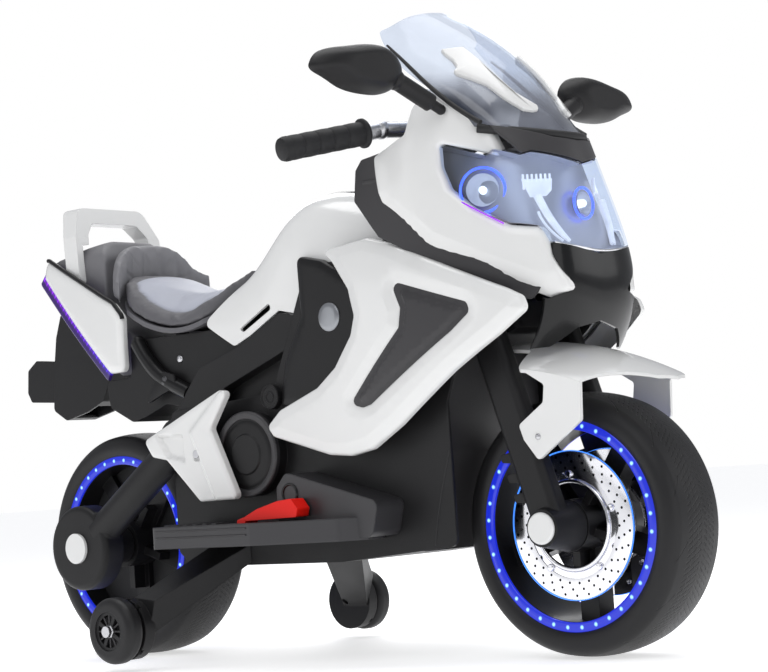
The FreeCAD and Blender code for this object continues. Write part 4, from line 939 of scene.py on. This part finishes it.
DRILLED = drilled("drilled_disc", [(0.0040, 0.079), (0.0110, 0.072), (0.0180, 0.065)], 30, 0.0017)
# The disc's edge glows blue: a painted reflection of the wheel's lamps, not a lamp of its own.
EDGE_REFLECTION = glowing("disc_edge_painted_reflection", (0.05, 0.25, 1.0), 1.4)
disc_line = [(DISC_RADIUS, DISC_FACE + 0.0004), (0.0745, DISC_FACE + 0.0009), (0.060, DISC_FACE + 0.0005)]
hub_line = arc3((0.047, DISC_FACE), (0.050, DISC_FACE + 0.003), (0.053, DISC_FACE), 9)
bolt_line = [(0.0001, 0.0032), (0.0036, 0.0028), (0.0046, 0.0014), (0.0046, 0.0)]
for side in (1, -1):
    face = DISC_FACE * side
    edge_line = [(0.0838, face - 0.0012), (0.0848, face - 0.0012), (0.0848, face), (0.0838, face)]
    lathe(f"disc_edge_{side}", edge_line, FRONT, EDGE_REFLECTION, "front_wheel", closed=True)
    lathe(f"disc_face_{side}", sided(disc_line, side), FRONT, DRILLED, "front_wheel")
    lathe(f"disc_hub_ring_{side}", sided(hub_line, side), FRONT, CHROME, "front_wheel")
    for i in range(5):
        turn = math.radians(72 * i + 18)
        spot = FRONT + Vector((0.058 * math.cos(turn), face, 0.058 * math.sin(turn)))
        lathe(f"disc_bolt_{side}_{i}", sided(bolt_line, side), spot, CHROME, "front_wheel", steps=24)
web_line = [(0.0300, -0.006), (0.1165, -0.006), (0.1165, 0.006), (0.0300, 0.006)]
lathe("rear_web", web_line, REAR, INNER, "rear_wheel", steps=96, closed=True)
print("discs of", round(2 * DISC_RADIUS, 3), "m")

# %% [markdown]
# ## Clear parts
# Thin clear plastic looks right without real refraction: part of the light passes straight through and the
# rest comes from a pale glossy skin. A slow noise changes that share, which gives the milky drift of a bent
# sheet. The windshield also has a dark, cloudy foot, where a height ramp makes the skin deeper and closes
# it.


# %% Clear materials
def clear(name, tint, veil_low, veil_high, scale, shade=None):
    """Clear plastic. shade gives the foot's lower and upper height, its colour and how dense it is."""
    mat, tree, bsdf = shader(name)
    slow = noise(tree, scale, 3.0)
    pale = mix(tree, slow, tuple(c * 0.85 for c in tint), tuple(min(1.0, c * 1.15) for c in tint))
    veil = spread(tree, slow, veil_low, veil_high)
    if shade:
        bottom, top, deep, dense = shade
        height = parts_of(tree, object_place(tree))[2]
        cloud = ramp(tree, slow, 0.38, 0.58, 0.62, 1.0)
        foot = maths(tree, "MULTIPLY", ramp(tree, height, bottom, top, 1.0, 0.0), cloud)
        pale = mix(tree, foot, pale, deep)
        veil = maths(tree, "MAXIMUM", veil, maths(tree, "MULTIPLY", foot, dense))
    tree.links.new(pale, bsdf.inputs["Base Color"])
    bsdf.inputs["Roughness"].default_value = 0.04
    bsdf.inputs["Coat Weight"].default_value = 0.6
    through = node(tree, "ShaderNodeBsdfTransparent")
    through.inputs["Color"].default_value = (0.90, 0.94, 1.0, 1)
    both = node(tree, "ShaderNodeMixShader")
    tree.links.new(veil, both.inputs["Fac"])
    tree.links.new(through.outputs[0], both.inputs[1])
    tree.links.new(bsdf.outputs[0], both.inputs[2])
    tree.links.new(both.outputs[0], tree.nodes["Material Output"].inputs["Surface"])
    return mat


SHIELD = clear("smoked_clear", (0.62, 0.64, 0.72), 0.08, 0.36, 7.0,
               shade=(0.635, 0.705, (0.045, 0.052, 0.075), 0.95))
LENS = clear("lens_clear", (0.60, 0.61, 0.66), 0.03, 0.10, 12.0)
dress(SHIELD, "windshield")
dress(LENS, "headlight_lens")
print("clear: windshield and headlight lens")

# %% [markdown]
# ## Windshield trims and seal
# A white trim lies on each half of the windshield, and a dark rubber seal runs round the sheet's foot and
# sides. The trims are plates laid on the sheet by a formula for its surface. Shrinkwrap would do it too,
# but it pulls the plate's underside on to the sheet as well. The seal is a bent bar that grows thinner
# upwards.


# %% Trims on the windshield
def on_shield(x, y, lift):
    """A point above the windshield, whose sheet is close to a polynomial of x and of the size of y."""
    a, b = (x - 0.35) * 10, (abs(y) - 0.055) * 10
    z = 0.6733 - 0.1162 * a - 0.0784 * b - 0.036 * a * a - 0.0171 * a * b - 0.0587 * b * b + 0.0154 * a ** 3
    slope_x = 10 * (-0.1162 - 0.072 * a - 0.0171 * b + 0.0462 * a * a)
    slope_y = 10 * (-0.0784 - 0.0171 * a - 0.1174 * b) * math.copysign(1, y)
    return Vector((x, y, z)) + lift * Vector((-slope_x, -slope_y, 1)).normalized()


trim = [(0.2995, 0.0710), (0.3170, 0.0500), (0.3390, 0.0475), (0.3585, 0.0450), (0.3809, 0.0385),
        (0.4000, 0.0235), (0.4030, 0.0260), (0.4010, 0.0335), (0.3945, 0.0440), (0.3780, 0.0545),
        (0.3580, 0.0625), (0.3432, 0.0720), (0.3300, 0.0800), (0.3249, 0.0805), (0.3262, 0.0745),
        (0.3182, 0.0722), (0.3075, 0.0725)]
for side, word in SIDES:
    flat = [(x, y * side) for x, y in trim][::-side]
    piece = slab(f"shield_trim_{word}", flat, lambda a, b, c: on_shield(a, b, c - 0.001), 0.006, WHITE,
                 "chassis", bevel=0.0018, radius=0.003)
    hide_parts("windshield_trims")
print("trims of", len(trim), "corners")


# %% Seal
def mirrored(half):
    """A line right across the bike, from its left half, which runs from the outside to the middle."""
    return [(x, -y, z) for x, y, z in half] + half[-2::-1]


foot = [(0.360, 0.086, 0.6075), (0.399, 0.061, 0.5995), (0.424, 0.031, 0.5945), (0.4345, 0.0, 0.5925)]
pipe("shield_seal", mirrored(foot), 0.0055, INNER, "chassis", 16, bent=True)
rise = [(0.376, 0.099, 0.6105), (0.354, 0.101, 0.6240), (0.321, 0.1015, 0.6500), (0.292, 0.1015, 0.6765),
        (0.264, 0.100, 0.7045), (0.242, 0.097, 0.7235)]
thinning = [0.0030, 0.0030, 0.0028, 0.0026, 0.0022, 0.0014]
for side, word in SIDES:
    line = [(x, y * side, z) for x, y, z in rise]
    pipe(f"shield_edge_{word}", line, thinning, INNER, "chassis", 12, bent=True)
print("seal of", len(mirrored(foot)), "points")

# %% [markdown]
# ## The plate on the tank
# A glossy black plate sits on top of the tank and follows its crown. It is a small net of points at the
# tank's own height plus two millimetres, and its outer row is sunk a little, so that the plate's edge
# closes on the tank.

# %% Tank plate
PLATE_ROWS, PLATE_COLUMNS = 14, 11
plate = []
for i, x in enumerate(np.linspace(0.060, 0.138, PLATE_ROWS)):
    for j, y in enumerate(np.linspace(-0.030, 0.030, PLATE_COLUMNS)):
        tank = 0.575 + 0.0782 * (x - 0.06) - 2.3141 * (x - 0.06) ** 2 - 3.2514 * y * y
        at_edge = i in (0, PLATE_ROWS - 1) or j in (0, PLATE_COLUMNS - 1)
        plate.append((x, y, tank + (-0.001 if at_edge else 0.002)))
add_mesh("tank_plate", plate, net_faces(PLATE_ROWS, PLATE_COLUMNS), PIANO, "chassis")
print("tank plate of", len(plate), "points")

# %% [markdown]
# ## Headlight
# Behind the lens lies a silver dish: the lens's own face, set back and made a little smaller, with a wall
# round it. Its colour grows darker towards the rear, painted shade for the inside of a deep bowl. Three
# lamps stand in it, each a turned bowl, a lit ring and a bulb. Bright plates and strands stand for the
# reflectors, in a simpler form, and glow white as painted reflections.


# %% The dish behind the lens
def facing_sheet(name, out, least):
    """The outward face of a solid alone, as its points and triangles."""
    keys, tris = facing_triangles(name, out, least=least)
    used, compact = np.unique(tris, return_inverse=True)
    return keys[used], compact.reshape(-1, 3)


def shade_painted_to_rear(mat, name, start, end, dark):
    """A copy of a material that grows darker towards the rear, as painted shade."""
    mat, tree, bsdf = copy_of(mat, name)
    color = bsdf.inputs["Base Color"]
    ahead_share = ramp(tree, parts_of(tree, object_place(tree))[0], start, end)
    tree.links.new(mix(tree, ahead_share, dark, color.links[0].from_socket), color)
    return mat


SILVER = moulded("silver_plastic", (0.52, 0.52, 0.57), 0.34, grain=0.05, scale=500, metallic=0.5)
# The dish's colour darkens towards the rear: painted shade, as inside a deep bowl.
SHADED_DISH = shade_painted_to_rear(SILVER, "silver_dish_painted_shade", 0.315, 0.400, (0.07, 0.07, 0.077))
lens, tris = facing_sheet("headlight_lens", (1, 0, 0), 0.05)
back_points = (lens - [0, 0, 0.525]) * [1, 0.90, 0.97] + [-0.019, 0, 0.525]
edge_points = lens * [1, 0.985, 1] - [0.0045, 0, 0]
rim = border_loops(tris)[0]
wall = [(a, b, b + len(lens), a + len(lens)) for a, b in zip(rim, rim[1:] + rim[:1])]
dish_faces = [tuple(t + len(lens)) for t in tris] + wall
dish = add_mesh("lamp_dish", np.vstack([edge_points, back_points]), dish_faces, SHADED_DISH, "chassis")
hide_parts("headlight_housing")
print("dish of", len(tris), "triangles, wall of", len(wall))


# %% Lamps
def flipped(p, side):
    """A point given for the right side of the bike, on that side or on the other."""
    return Vector((p[0], p[1] * side, p[2]))


BULB = glowing("bulb_glow", (0.8, 0.9, 1.0), 2.0)
HALO = glowing("halo_glow", (0.04, 0.10, 1.0), 2.6)
bulb_line = [(0.0001, 0.0035), (0.0030, 0.0028), (0.0046, 0.0004), (0.0048, -0.0065)]
lamps = [((0.364, -0.0885, 0.5355), 0.0265, (0.5, -0.86, 0.02)),
         ((0.4385, 0.0, 0.5150), 0.0185, (1, 0, 0.02))]
for number, (place, radius, aim) in enumerate(lamps):
    for side in (1, -1) if place[1] else (1,):
        spot, axis = flipped(place, side), flipped(aim, side)
        name = f"lamp_{number}_{'right' if side > 0 else 'left'}"
        bowl = [(0.003, -0.007), (radius * 0.35, -0.006), (radius * 0.58, -0.003), (radius * 0.72, 0.001)]
        lathe(name + "_bowl", bowl, spot, SILVER, "chassis", steps=48, axis=axis)
        halo = circle(0.0015, 12, radius * 0.97, 0.0005)
        lathe(name + "_halo", halo, spot, HALO, "chassis", steps=64, axis=axis, closed=True)
        lathe(name + "_bulb", bulb_line, spot, BULB, "chassis", steps=24, axis=axis)
print("lamps at", len(lamps), "heights")

# %% Reflectors and lit lines
# The reflector plates and strands glow white: painted reflections, since they are no lamps.
PAINTED_REFLECTION = glowing("reflector_painted_reflection", (0.95, 0.97, 1.0), 0.45, base=(0.75, 0.76, 0.8))
MAGENTA = glowing("violet_line", (0.45, 0.02, 1.0), 1.0)
TEETH = 7
comb = [(0.4034, -0.0677, 0.5436), (0.4267, -0.0401, 0.5430), (0.4288, -0.0450, 0.5290),
        (0.4268, -0.0525, 0.5223), (0.4142, -0.0671, 0.5213)]
strand = [(0.420, -0.061, 0.523), (0.428, -0.0585, 0.503), (0.437, -0.054, 0.484), (0.4455, -0.040, 0.469)]
strand_radii = [0.0050, 0.0042, 0.0050, 0.0022]
wisp = [(0.4232, -0.0653, 0.504), (0.429, -0.0657, 0.486), (0.4432, -0.0493, 0.4692)]
violet = [(0.344, -0.1035, 0.5235), (0.369, -0.1015, 0.5092), (0.397, -0.0965, 0.4928)]
for side, word in ((1, "right"), (-1, "left")):
    corners = [flipped(p, side) for p in comb]
    add_mesh(f"comb_{word}", corners, [range(len(comb))], PAINTED_REFLECTION, "chassis", sharp=None)
    for i in range(TEETH):
        x, y, z = Vector(comb[0]).lerp(Vector(comb[1]), (i + 0.5) / TEETH)
        tooth = [flipped((x, y, z - 0.012), side), flipped((x, y, z + 0.0055), side)]
        pipe(f"comb_tooth_{word}_{i}", tooth, 0.0014, PAINTED_REFLECTION, "chassis", 8)
    thick, thin, lit = [[flipped(p, side) for p in line] for line in (strand, wisp, violet)]
    pipe(f"strand_{word}", thick, strand_radii, PAINTED_REFLECTION, "chassis", 12, bent=True)
    pipe(f"wisp_{word}", thin, 0.0016, PAINTED_REFLECTION, "chassis", 8, bent=True)
    pipe(f"violet_edge_{word}", lit, 0.0009, MAGENTA, "chassis", 8)
rim_half = [(0.4460, 0.0690, 0.4668), (0.4535, 0.0540, 0.4636), (0.4572, 0.0250, 0.4596),
            (0.4578, 0.0, 0.4582)]
rim_line = mirrored(rim_half)
pipe("lens_rim", rim_line, 0.0016, CHROME, "chassis", 8, bent=True)
# A lighter grey bar runs along the chin's top: a real lip, whose lighter colour is a painted highlight on
# the gloss black.
lip_highlight_line = [(x - 0.004, y, z - 0.0075) for x, y, z in rim_line]
pipe("chin_lip_painted_highlight", lip_highlight_line, 0.0045, GREY, "chassis", 12, bent=True)
print("reflectors with", TEETH, "teeth each")

# %% [markdown]
# ## Seat and backrest
# The soft pieces start from their solids. A voxel remesh gives them an even net, a light smoothing takes
# the hard edges off, and a short cloth run with air pressure fills them. Each point may only move a few
# millimetres, so the pads keep their size. Seams are pressed in afterwards, because a remesh or a cloth run
# would wash them out.


# %% Leather
def leather(name, side_color, top_tone_and_light):
    """Grained cover. The points' "top" value says where the lighter top cover is. That lighter tone is
    partly the cover's own and partly painted light on the faces turned to the lamps.
    """
    mat, tree, bsdf = shader(name)
    slow = noise(tree, 26.0, 6.0)
    cells = node(tree, "ShaderNodeTexVoronoi", Scale=620.0, feature="DISTANCE_TO_EDGE")
    tree.links.new(object_place(tree), cells.inputs["Vector"])
    top = node(tree, "ShaderNodeAttribute", attribute_name="top").outputs["Fac"]
    worn_and_lit_top = mix(tree, slow, tuple(c * 0.86 for c in top_tone_and_light), tuple(min(1, c * 1.12) for c in top_tone_and_light))
    tree.links.new(mix(tree, top, side_color, worn_and_lit_top), bsdf.inputs["Base Color"])
    tree.links.new(spread(tree, slow, 0.42, 0.58), bsdf.inputs["Roughness"])
    grain = node(tree, "ShaderNodeBump", Strength=0.35, Distance=0.0005)
    tree.links.new(cells.outputs["Distance"], grain.inputs["Height"])
    folds = node(tree, "ShaderNodeBump", Strength=0.25, Distance=0.004)
    tree.links.new(slow, folds.inputs["Height"])
    tree.links.new(grain.outputs["Normal"], folds.inputs["Normal"])
    tree.links.new(folds.outputs["Normal"], bsdf.inputs["Normal"])
    return mat


# The top colour is several times lighter than the sides: partly a lighter cover, partly painted light from
# above.
HIDE = leather("grey_leather", (0.110, 0.108, 0.117), (0.40, 0.415, 0.48))
BACK_HIDE = leather("back_leather", (0.16, 0.158, 0.168), (0.19, 0.188, 0.2))
dress(HIDE, "seat_base")


# %% Soft copies of solids
def vectors_of(items, key):
    flat = np.empty(len(items) * 3)
    items.foreach_get(key, flat)
    return flat.reshape(-1, 3)


def places(data):
    return vectors_of(data.vertices, "co")


def directions(data):
    return vectors_of(data.vertex_normals, "vector")


def move_to(obj, spots):
    obj.data.vertices.foreach_set("co", spots.ravel())
    obj.data.update()


def settled(obj):
    """The object with its modifiers applied."""
    bpy.context.view_layer.update()
    data = bpy.data.meshes.new_from_object(obj.evaluated_get(bpy.context.evaluated_depsgraph_get()))
    obj.modifiers.clear()
    obj.data = data
    return obj


def even_copy(name, solid, voxel, smoothing):
    """A copy of a solid on an even net, with its edges smoothed away."""
    obj = bpy.data.objects.new(name, nodes[solid].data.copy())
    bpy.context.collection.objects.link(obj)
    even = obj.modifiers.new("even", "REMESH")
    even.mode, even.voxel_size = "VOXEL", voxel
    soft = obj.modifiers.new("soft", "SMOOTH")
    soft.factor, soft.iterations = 0.5, smoothing
    return settled(obj)


def dressed_copy(obj, solid, material):
    obj.data.materials.clear()
    obj.data.materials.append(material)
    obj.data.shade_smooth()
    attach(obj, "chassis")
    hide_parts(solid)
    return obj


# %% Stuffing
AIR_PRESSURE = 4.0
FILL_FRAMES = 20
PAD_VOXEL = 0.005


def filled(obj, cap):
    """Where the points of a cover end when air fills it, each kept within a cap of where it began."""
    start = places(obj.data)
    held = obj.vertex_groups.new(name="held")
    held.add([int(i) for i in np.nonzero(directions(obj.data)[:, 2] < -0.4)[0]], 1.0, "REPLACE")
    cloth = obj.modifiers.new("fill", "CLOTH")
    rule = cloth.settings
    rule.quality, rule.mass = 4, 0.15
    rule.tension_stiffness = rule.compression_stiffness = 14.0
    rule.shear_stiffness, rule.bending_stiffness = 6.0, 0.4
    rule.use_pressure, rule.uniform_pressure_force = True, AIR_PRESSURE
    rule.effector_weights.gravity = 0.0
    rule.vertex_group_mass = "held"
    cloth.point_cache.frame_start, cloth.point_cache.frame_end = 1, FILL_FRAMES
    scene = bpy.context.scene
    for step in range(1, FILL_FRAMES + 1):
        scene.frame_set(step)
    shift = places(obj.evaluated_get(bpy.context.evaluated_depsgraph_get()).data) - start
    far = np.linalg.norm(shift, axis=1, keepdims=True)
    print(f"{obj.name}: filled by up to {far.max() * 1000:.1f} mm, kept to {cap * 1000:.0f} mm")
    obj.modifiers.clear()
    obj.vertex_groups.clear()
    scene.frame_set(1)
    return start + shift * np.minimum(1, cap / np.maximum(far, 1e-9))


def stuffed(name, solid, material, shrink, cap, smoothing):
    """A soft solid, shrunk a little and filled as cloth."""
    obj = even_copy(name, solid, PAD_VOXEL, smoothing)
    move_to(obj, places(obj.data) - directions(obj.data) * shrink)
    move_to(obj, filled(obj, cap))
    fine = obj.modifiers.new("fine", "SUBSURF")
    fine.levels = fine.render_levels = 1
    return dressed_copy(settled(obj), solid, material)


def press(obj, depth):
    """Pushes points in along their normals by a depth worked out for each one."""
    move_to(obj, places(obj.data) - directions(obj.data) * depth[:, None])


def paint(obj, values):
    layer = obj.data.attributes.new("top", "FLOAT", "POINT")
    layer.data.foreach_set("value", values.astype(np.float32))


# %% The seat cushion
cushion = stuffed("seat_pad", "seat_cushion", HIDE, 0.0016, 0.006, smoothing=5)
keys, tris = facing_triangles("seat_cushion", (0, 0, 1))
plan = resample(keys[border_loops(tris)[0]][:, :2], 0.004)
spots = places(cushion.data)
edge_gap = np.where(inside(spots[:, :2], plan), gap_to(spots[:, :2], [plan]), 0.0)
upward = directions(cushion.data)[:, 2] > 0.15
welt = np.exp(-((edge_gap - 0.017) / 0.0022) ** 2) * upward
press(cushion, 0.0016 * welt)
# The upward faces inside the welt get the lighter top colour: a two-tone cover, lightened further by painted
# light from above.
paint(cushion, np.clip((edge_gap - 0.0165) / 0.002, 0, 1) * upward)
print("seat pad", len(cushion.data.vertices), "points")

# %% [markdown]
# The backrest's front is quilted: six short creases fan out from a place below it, and they are pressed
# into the filled pad. The hump behind it wears the same cover but isn't soft, so it is a smoothed copy
# without a cloth run.

# %% The backrest and the hump
backrest = stuffed("back_pad", "backrest_pad", BACK_HIDE, 0.0020, 0.005, smoothing=8)
spots = places(backrest.data)
away = spots[:, 1:] - np.array([0.0, 0.492])
reach = np.linalg.norm(away, axis=1)
angle = np.degrees(np.arctan2(away[:, 1], away[:, 0]))
front = directions(backrest.data)[:, 0] > 0.2
crease = np.zeros(len(spots))
for at in (22, 52, 78, 104, 130, 158):
    wide = np.abs((angle - at + 180) % 360 - 180) * reach * math.pi / 180
    crease += np.exp(-(wide / 0.0022) ** 2) * np.clip(1 - np.abs(reach - 0.052) / 0.018, 0, 1)
press(backrest, 0.0022 * crease * front)
# The forward faces get the lighter colour: a quilted front panel, partly painted light on the faces turned
# to the lamps.
paint(backrest, front)
dressed_copy(even_copy("tail_hump", "tail_core", 0.003, 12), "tail_core", BACK_HIDE)
print("back pad", len(backrest.data.vertices), "points")

# %% [markdown]
# ## Grips
# A grip is a rubber sleeve with a flange and five ribs. It is turned about the line of its solid, which is
# found from the spread of the solid's points, so it still fits if the bars are bent another way.

# %% Grips
for side, word in SIDES:
    solid = places(nodes["grips"].data)
    solid = solid[solid[:, 1] * side > 0]
    middle = solid.mean(axis=0)
    axis = np.linalg.svd(solid - middle)[2][0]
    axis *= side * np.sign(axis[1])
    run = (solid - middle) @ axis
    lo, hi = run.min(), run.max()
    line = [(0.0103, lo), (0.0165, lo), (0.0176, lo + 0.0014), (0.0176, lo + 0.0038), (0.0165, lo + 0.0052),
            (0.0140, lo + 0.0062)]
    for i in range(5):
        at = lo + 0.010 + 0.0205 * i
        line += [(0.0143, at), (0.0146, at + 0.008), (0.0142, at + 0.0176), (0.0134, at + 0.0186),
                 (0.0134, at + 0.0196)]
    line += [(0.0146, hi - 0.011), (0.0146, hi - 0.006), (0.0132, hi - 0.002), (0.0095, hi),
             (0.0004, hi + 0.0004)]
    grip = lathe(f"grip_{word}", line, middle, RUBBER, "steering", steps=48, axis=axis)
    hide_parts("grips")
    print("grip", round(hi - lo, 3), "m long on the", word)

# %% [markdown]
# ## Small parts
# Bolts, rings and spokes make the mouldings look assembled. Each one is turned or bent from a few points.
# Where one sits on a curved piece, a ray from the side finds the surface, so that the part neither floats
# nor sinks.


# %% Studs and bolts
def on_side(obj, x, z, side):
    """The outermost point of a piece at a place seen from one side of the bike."""
    tree = BVHTree.FromObject(obj, bpy.context.evaluated_depsgraph_get())
    hit = tree.ray_cast(Vector((x, side * 0.5, z)), Vector((0, -side, 0)))[0]
    return hit if hit else Vector((x, side * 0.1, z))


def stud(name, spot, side, radius, height, material, body, steps=32):
    """A low round-headed stud that points sideways."""
    line = [(0.0002, height), (radius * 0.6, height * 0.92), (radius * 0.9, height * 0.6),
            (radius, height * 0.2), (radius, -0.001)]
    lathe(name, line, spot, material, body, steps=steps, axis=(0, side, 0))


DISC = moulded("disc_silver", (0.30, 0.31, 0.33), 0.3, grain=0.05, metallic=0.8)
DULL = moulded("dull_bolt", (0.10, 0.10, 0.105), 0.35, grain=0.05, metallic=0.9)
for side, word in SIDES:
    knee = on_side(bpy.data.objects[f"knee_cover_{word}"], 0.1314, 0.4132, side)
    stud(f"knee_disc_{word}", knee, side, 0.0172, 0.0032, DISC, "chassis", 64)
    seat_spot = on_side(nodes[f"chassis_{word}"], -0.1665, 0.3881, side)
    stud(f"seat_bolt_{word}", seat_spot, side, 0.0055, 0.003, STEEL, "chassis")
    strut_spot, stay_spot = Vector((-0.184, side * 0.092, 0.361)), Vector((0.4185, side * 0.0888, 0.2516))
    stud(f"strut_bolt_{word}", strut_spot, side, 0.0062, 0.002, DULL, "chassis")
    stud(f"stay_screw_{word}", stay_spot, side, 0.0036, 0.0016, STEEL, "steering")
print("studs: 4 on each side")

# %% Struts and the lines on the footboards
bracket = [(-0.223, 0.332), (-0.206, 0.360), (-0.186, 0.374), (-0.166, 0.368), (-0.163, 0.352),
           (-0.190, 0.344)]
strut = [(-0.240, 0.416), (-0.231, 0.401), (-0.216, 0.382), (-0.194, 0.364), (-0.170, 0.353),
         (-0.146, 0.342)]
for side, word in SIDES:
    slab(f"strut_bracket_{word}", bracket, lambda a, b, c, s=side: Vector((a, s * (0.086 + c), b)), 0.006,
         SATIN, "chassis", radius=0.004)
    tube = [(x, side * 0.084, z) for x, z in strut]
    pipe(f"strut_tube_{word}", tube, 0.0102, SATIN, "chassis", 20, bent=True)
    for row in (0.1605, 0.1685):
        line = [(x, side * 0.1922, row) for x in (-0.106, 0.052)]
        pipe(f"board_line_{word}_{row}", line, 0.0011, GREY, "chassis", 12)
print("strut of", len(strut), "points, bracket of", len(bracket), "corners")

# %% Engine covers and the pedal hood's ring
engine = {
    "rim": (GREY, [(0.0530, -0.004), (0.0530, 0.0012), (0.0512, 0.0028), (0.0462, 0.0028), (0.0440, 0.0016),
                   (0.0434, -0.001)]),
    "face": (BLACK, [(0.0002, 0.0016), (0.036, 0.0016), (0.0405, 0.0008), (0.0428, -0.001)]),
    "boss": (BLACK, [(0.0002, 0.0034), (0.024, 0.0034), (0.0262, 0.0012)]),
}
for side, word in SIDES:
    block = nodes[f"chassis_{word}"]
    hub = on_side(block, -0.013, 0.257, side)
    for part, (material, line) in engine.items():
        lathe(f"engine_{part}_{word}", sided(line, side), hub, material, "chassis", steps=96)
    cover = on_side(block, 0.023, 0.325, side)
    for radius in (0.0062, 0.0138):
        ring = circle(0.0016, 10, radius, 0.0006)
        lathe(f"timing_ring_{word}_{radius}", ring, cover, SATIN, "chassis", steps=48, closed=True)
    hood = Vector((0.086, side * 0.1482, 0.205))
    lathe(f"hood_ring_{word}", circle(0.0018, 10, 0.0118), hood, PIANO, "chassis", steps=48, closed=True)
print("engine covers at", [round(v, 3) for v in hub])

# %% Spokes and nuts of the small wheels
SPOKES = 12
nut = [(0.0085, -0.002), (0.0085, 0.0022), (0.0072, 0.0032), (0.0042, 0.0032)]
for side, word in SIDES:
    axle = Vector((-0.151, side * 0.2365, 0.051))
    for i in range(SPOKES):
        turn = 2 * math.pi * i / SPOKES
        ray = Vector((math.cos(turn), 0, math.sin(turn)))
        spoke = [axle + ray * 0.006, axle + ray * 0.0205]
        pipe(f"small_spoke_{word}_{i}", spoke, 0.0012, GREY, f"stabiliser_{word}", 8)
    lathe(f"small_nut_{word}", sided(nut, side), axle, STEEL, f"stabiliser_{word}", steps=6)
print("spokes", SPOKES, "on each small wheel")

# %% [markdown]
# ## Mirror glass
# The glass is the flat rear face of each mirror's own solid, lifted by less than half a millimetre and
# chromed. A second material on the solid would do it too, but a piece of its own can be changed alone.

# %% Mirror glass
for side, word in SIDES:
    points, tris = facing_sheet(f"mirror_{word}", (-1, 0, 0), 0.85)
    add_mesh(f"mirror_glass_{word}", points - [0.0004, 0, 0], tris, CHROME, f"mirror_{word}")
    print("glass of", len(tris), "triangles on the", word)
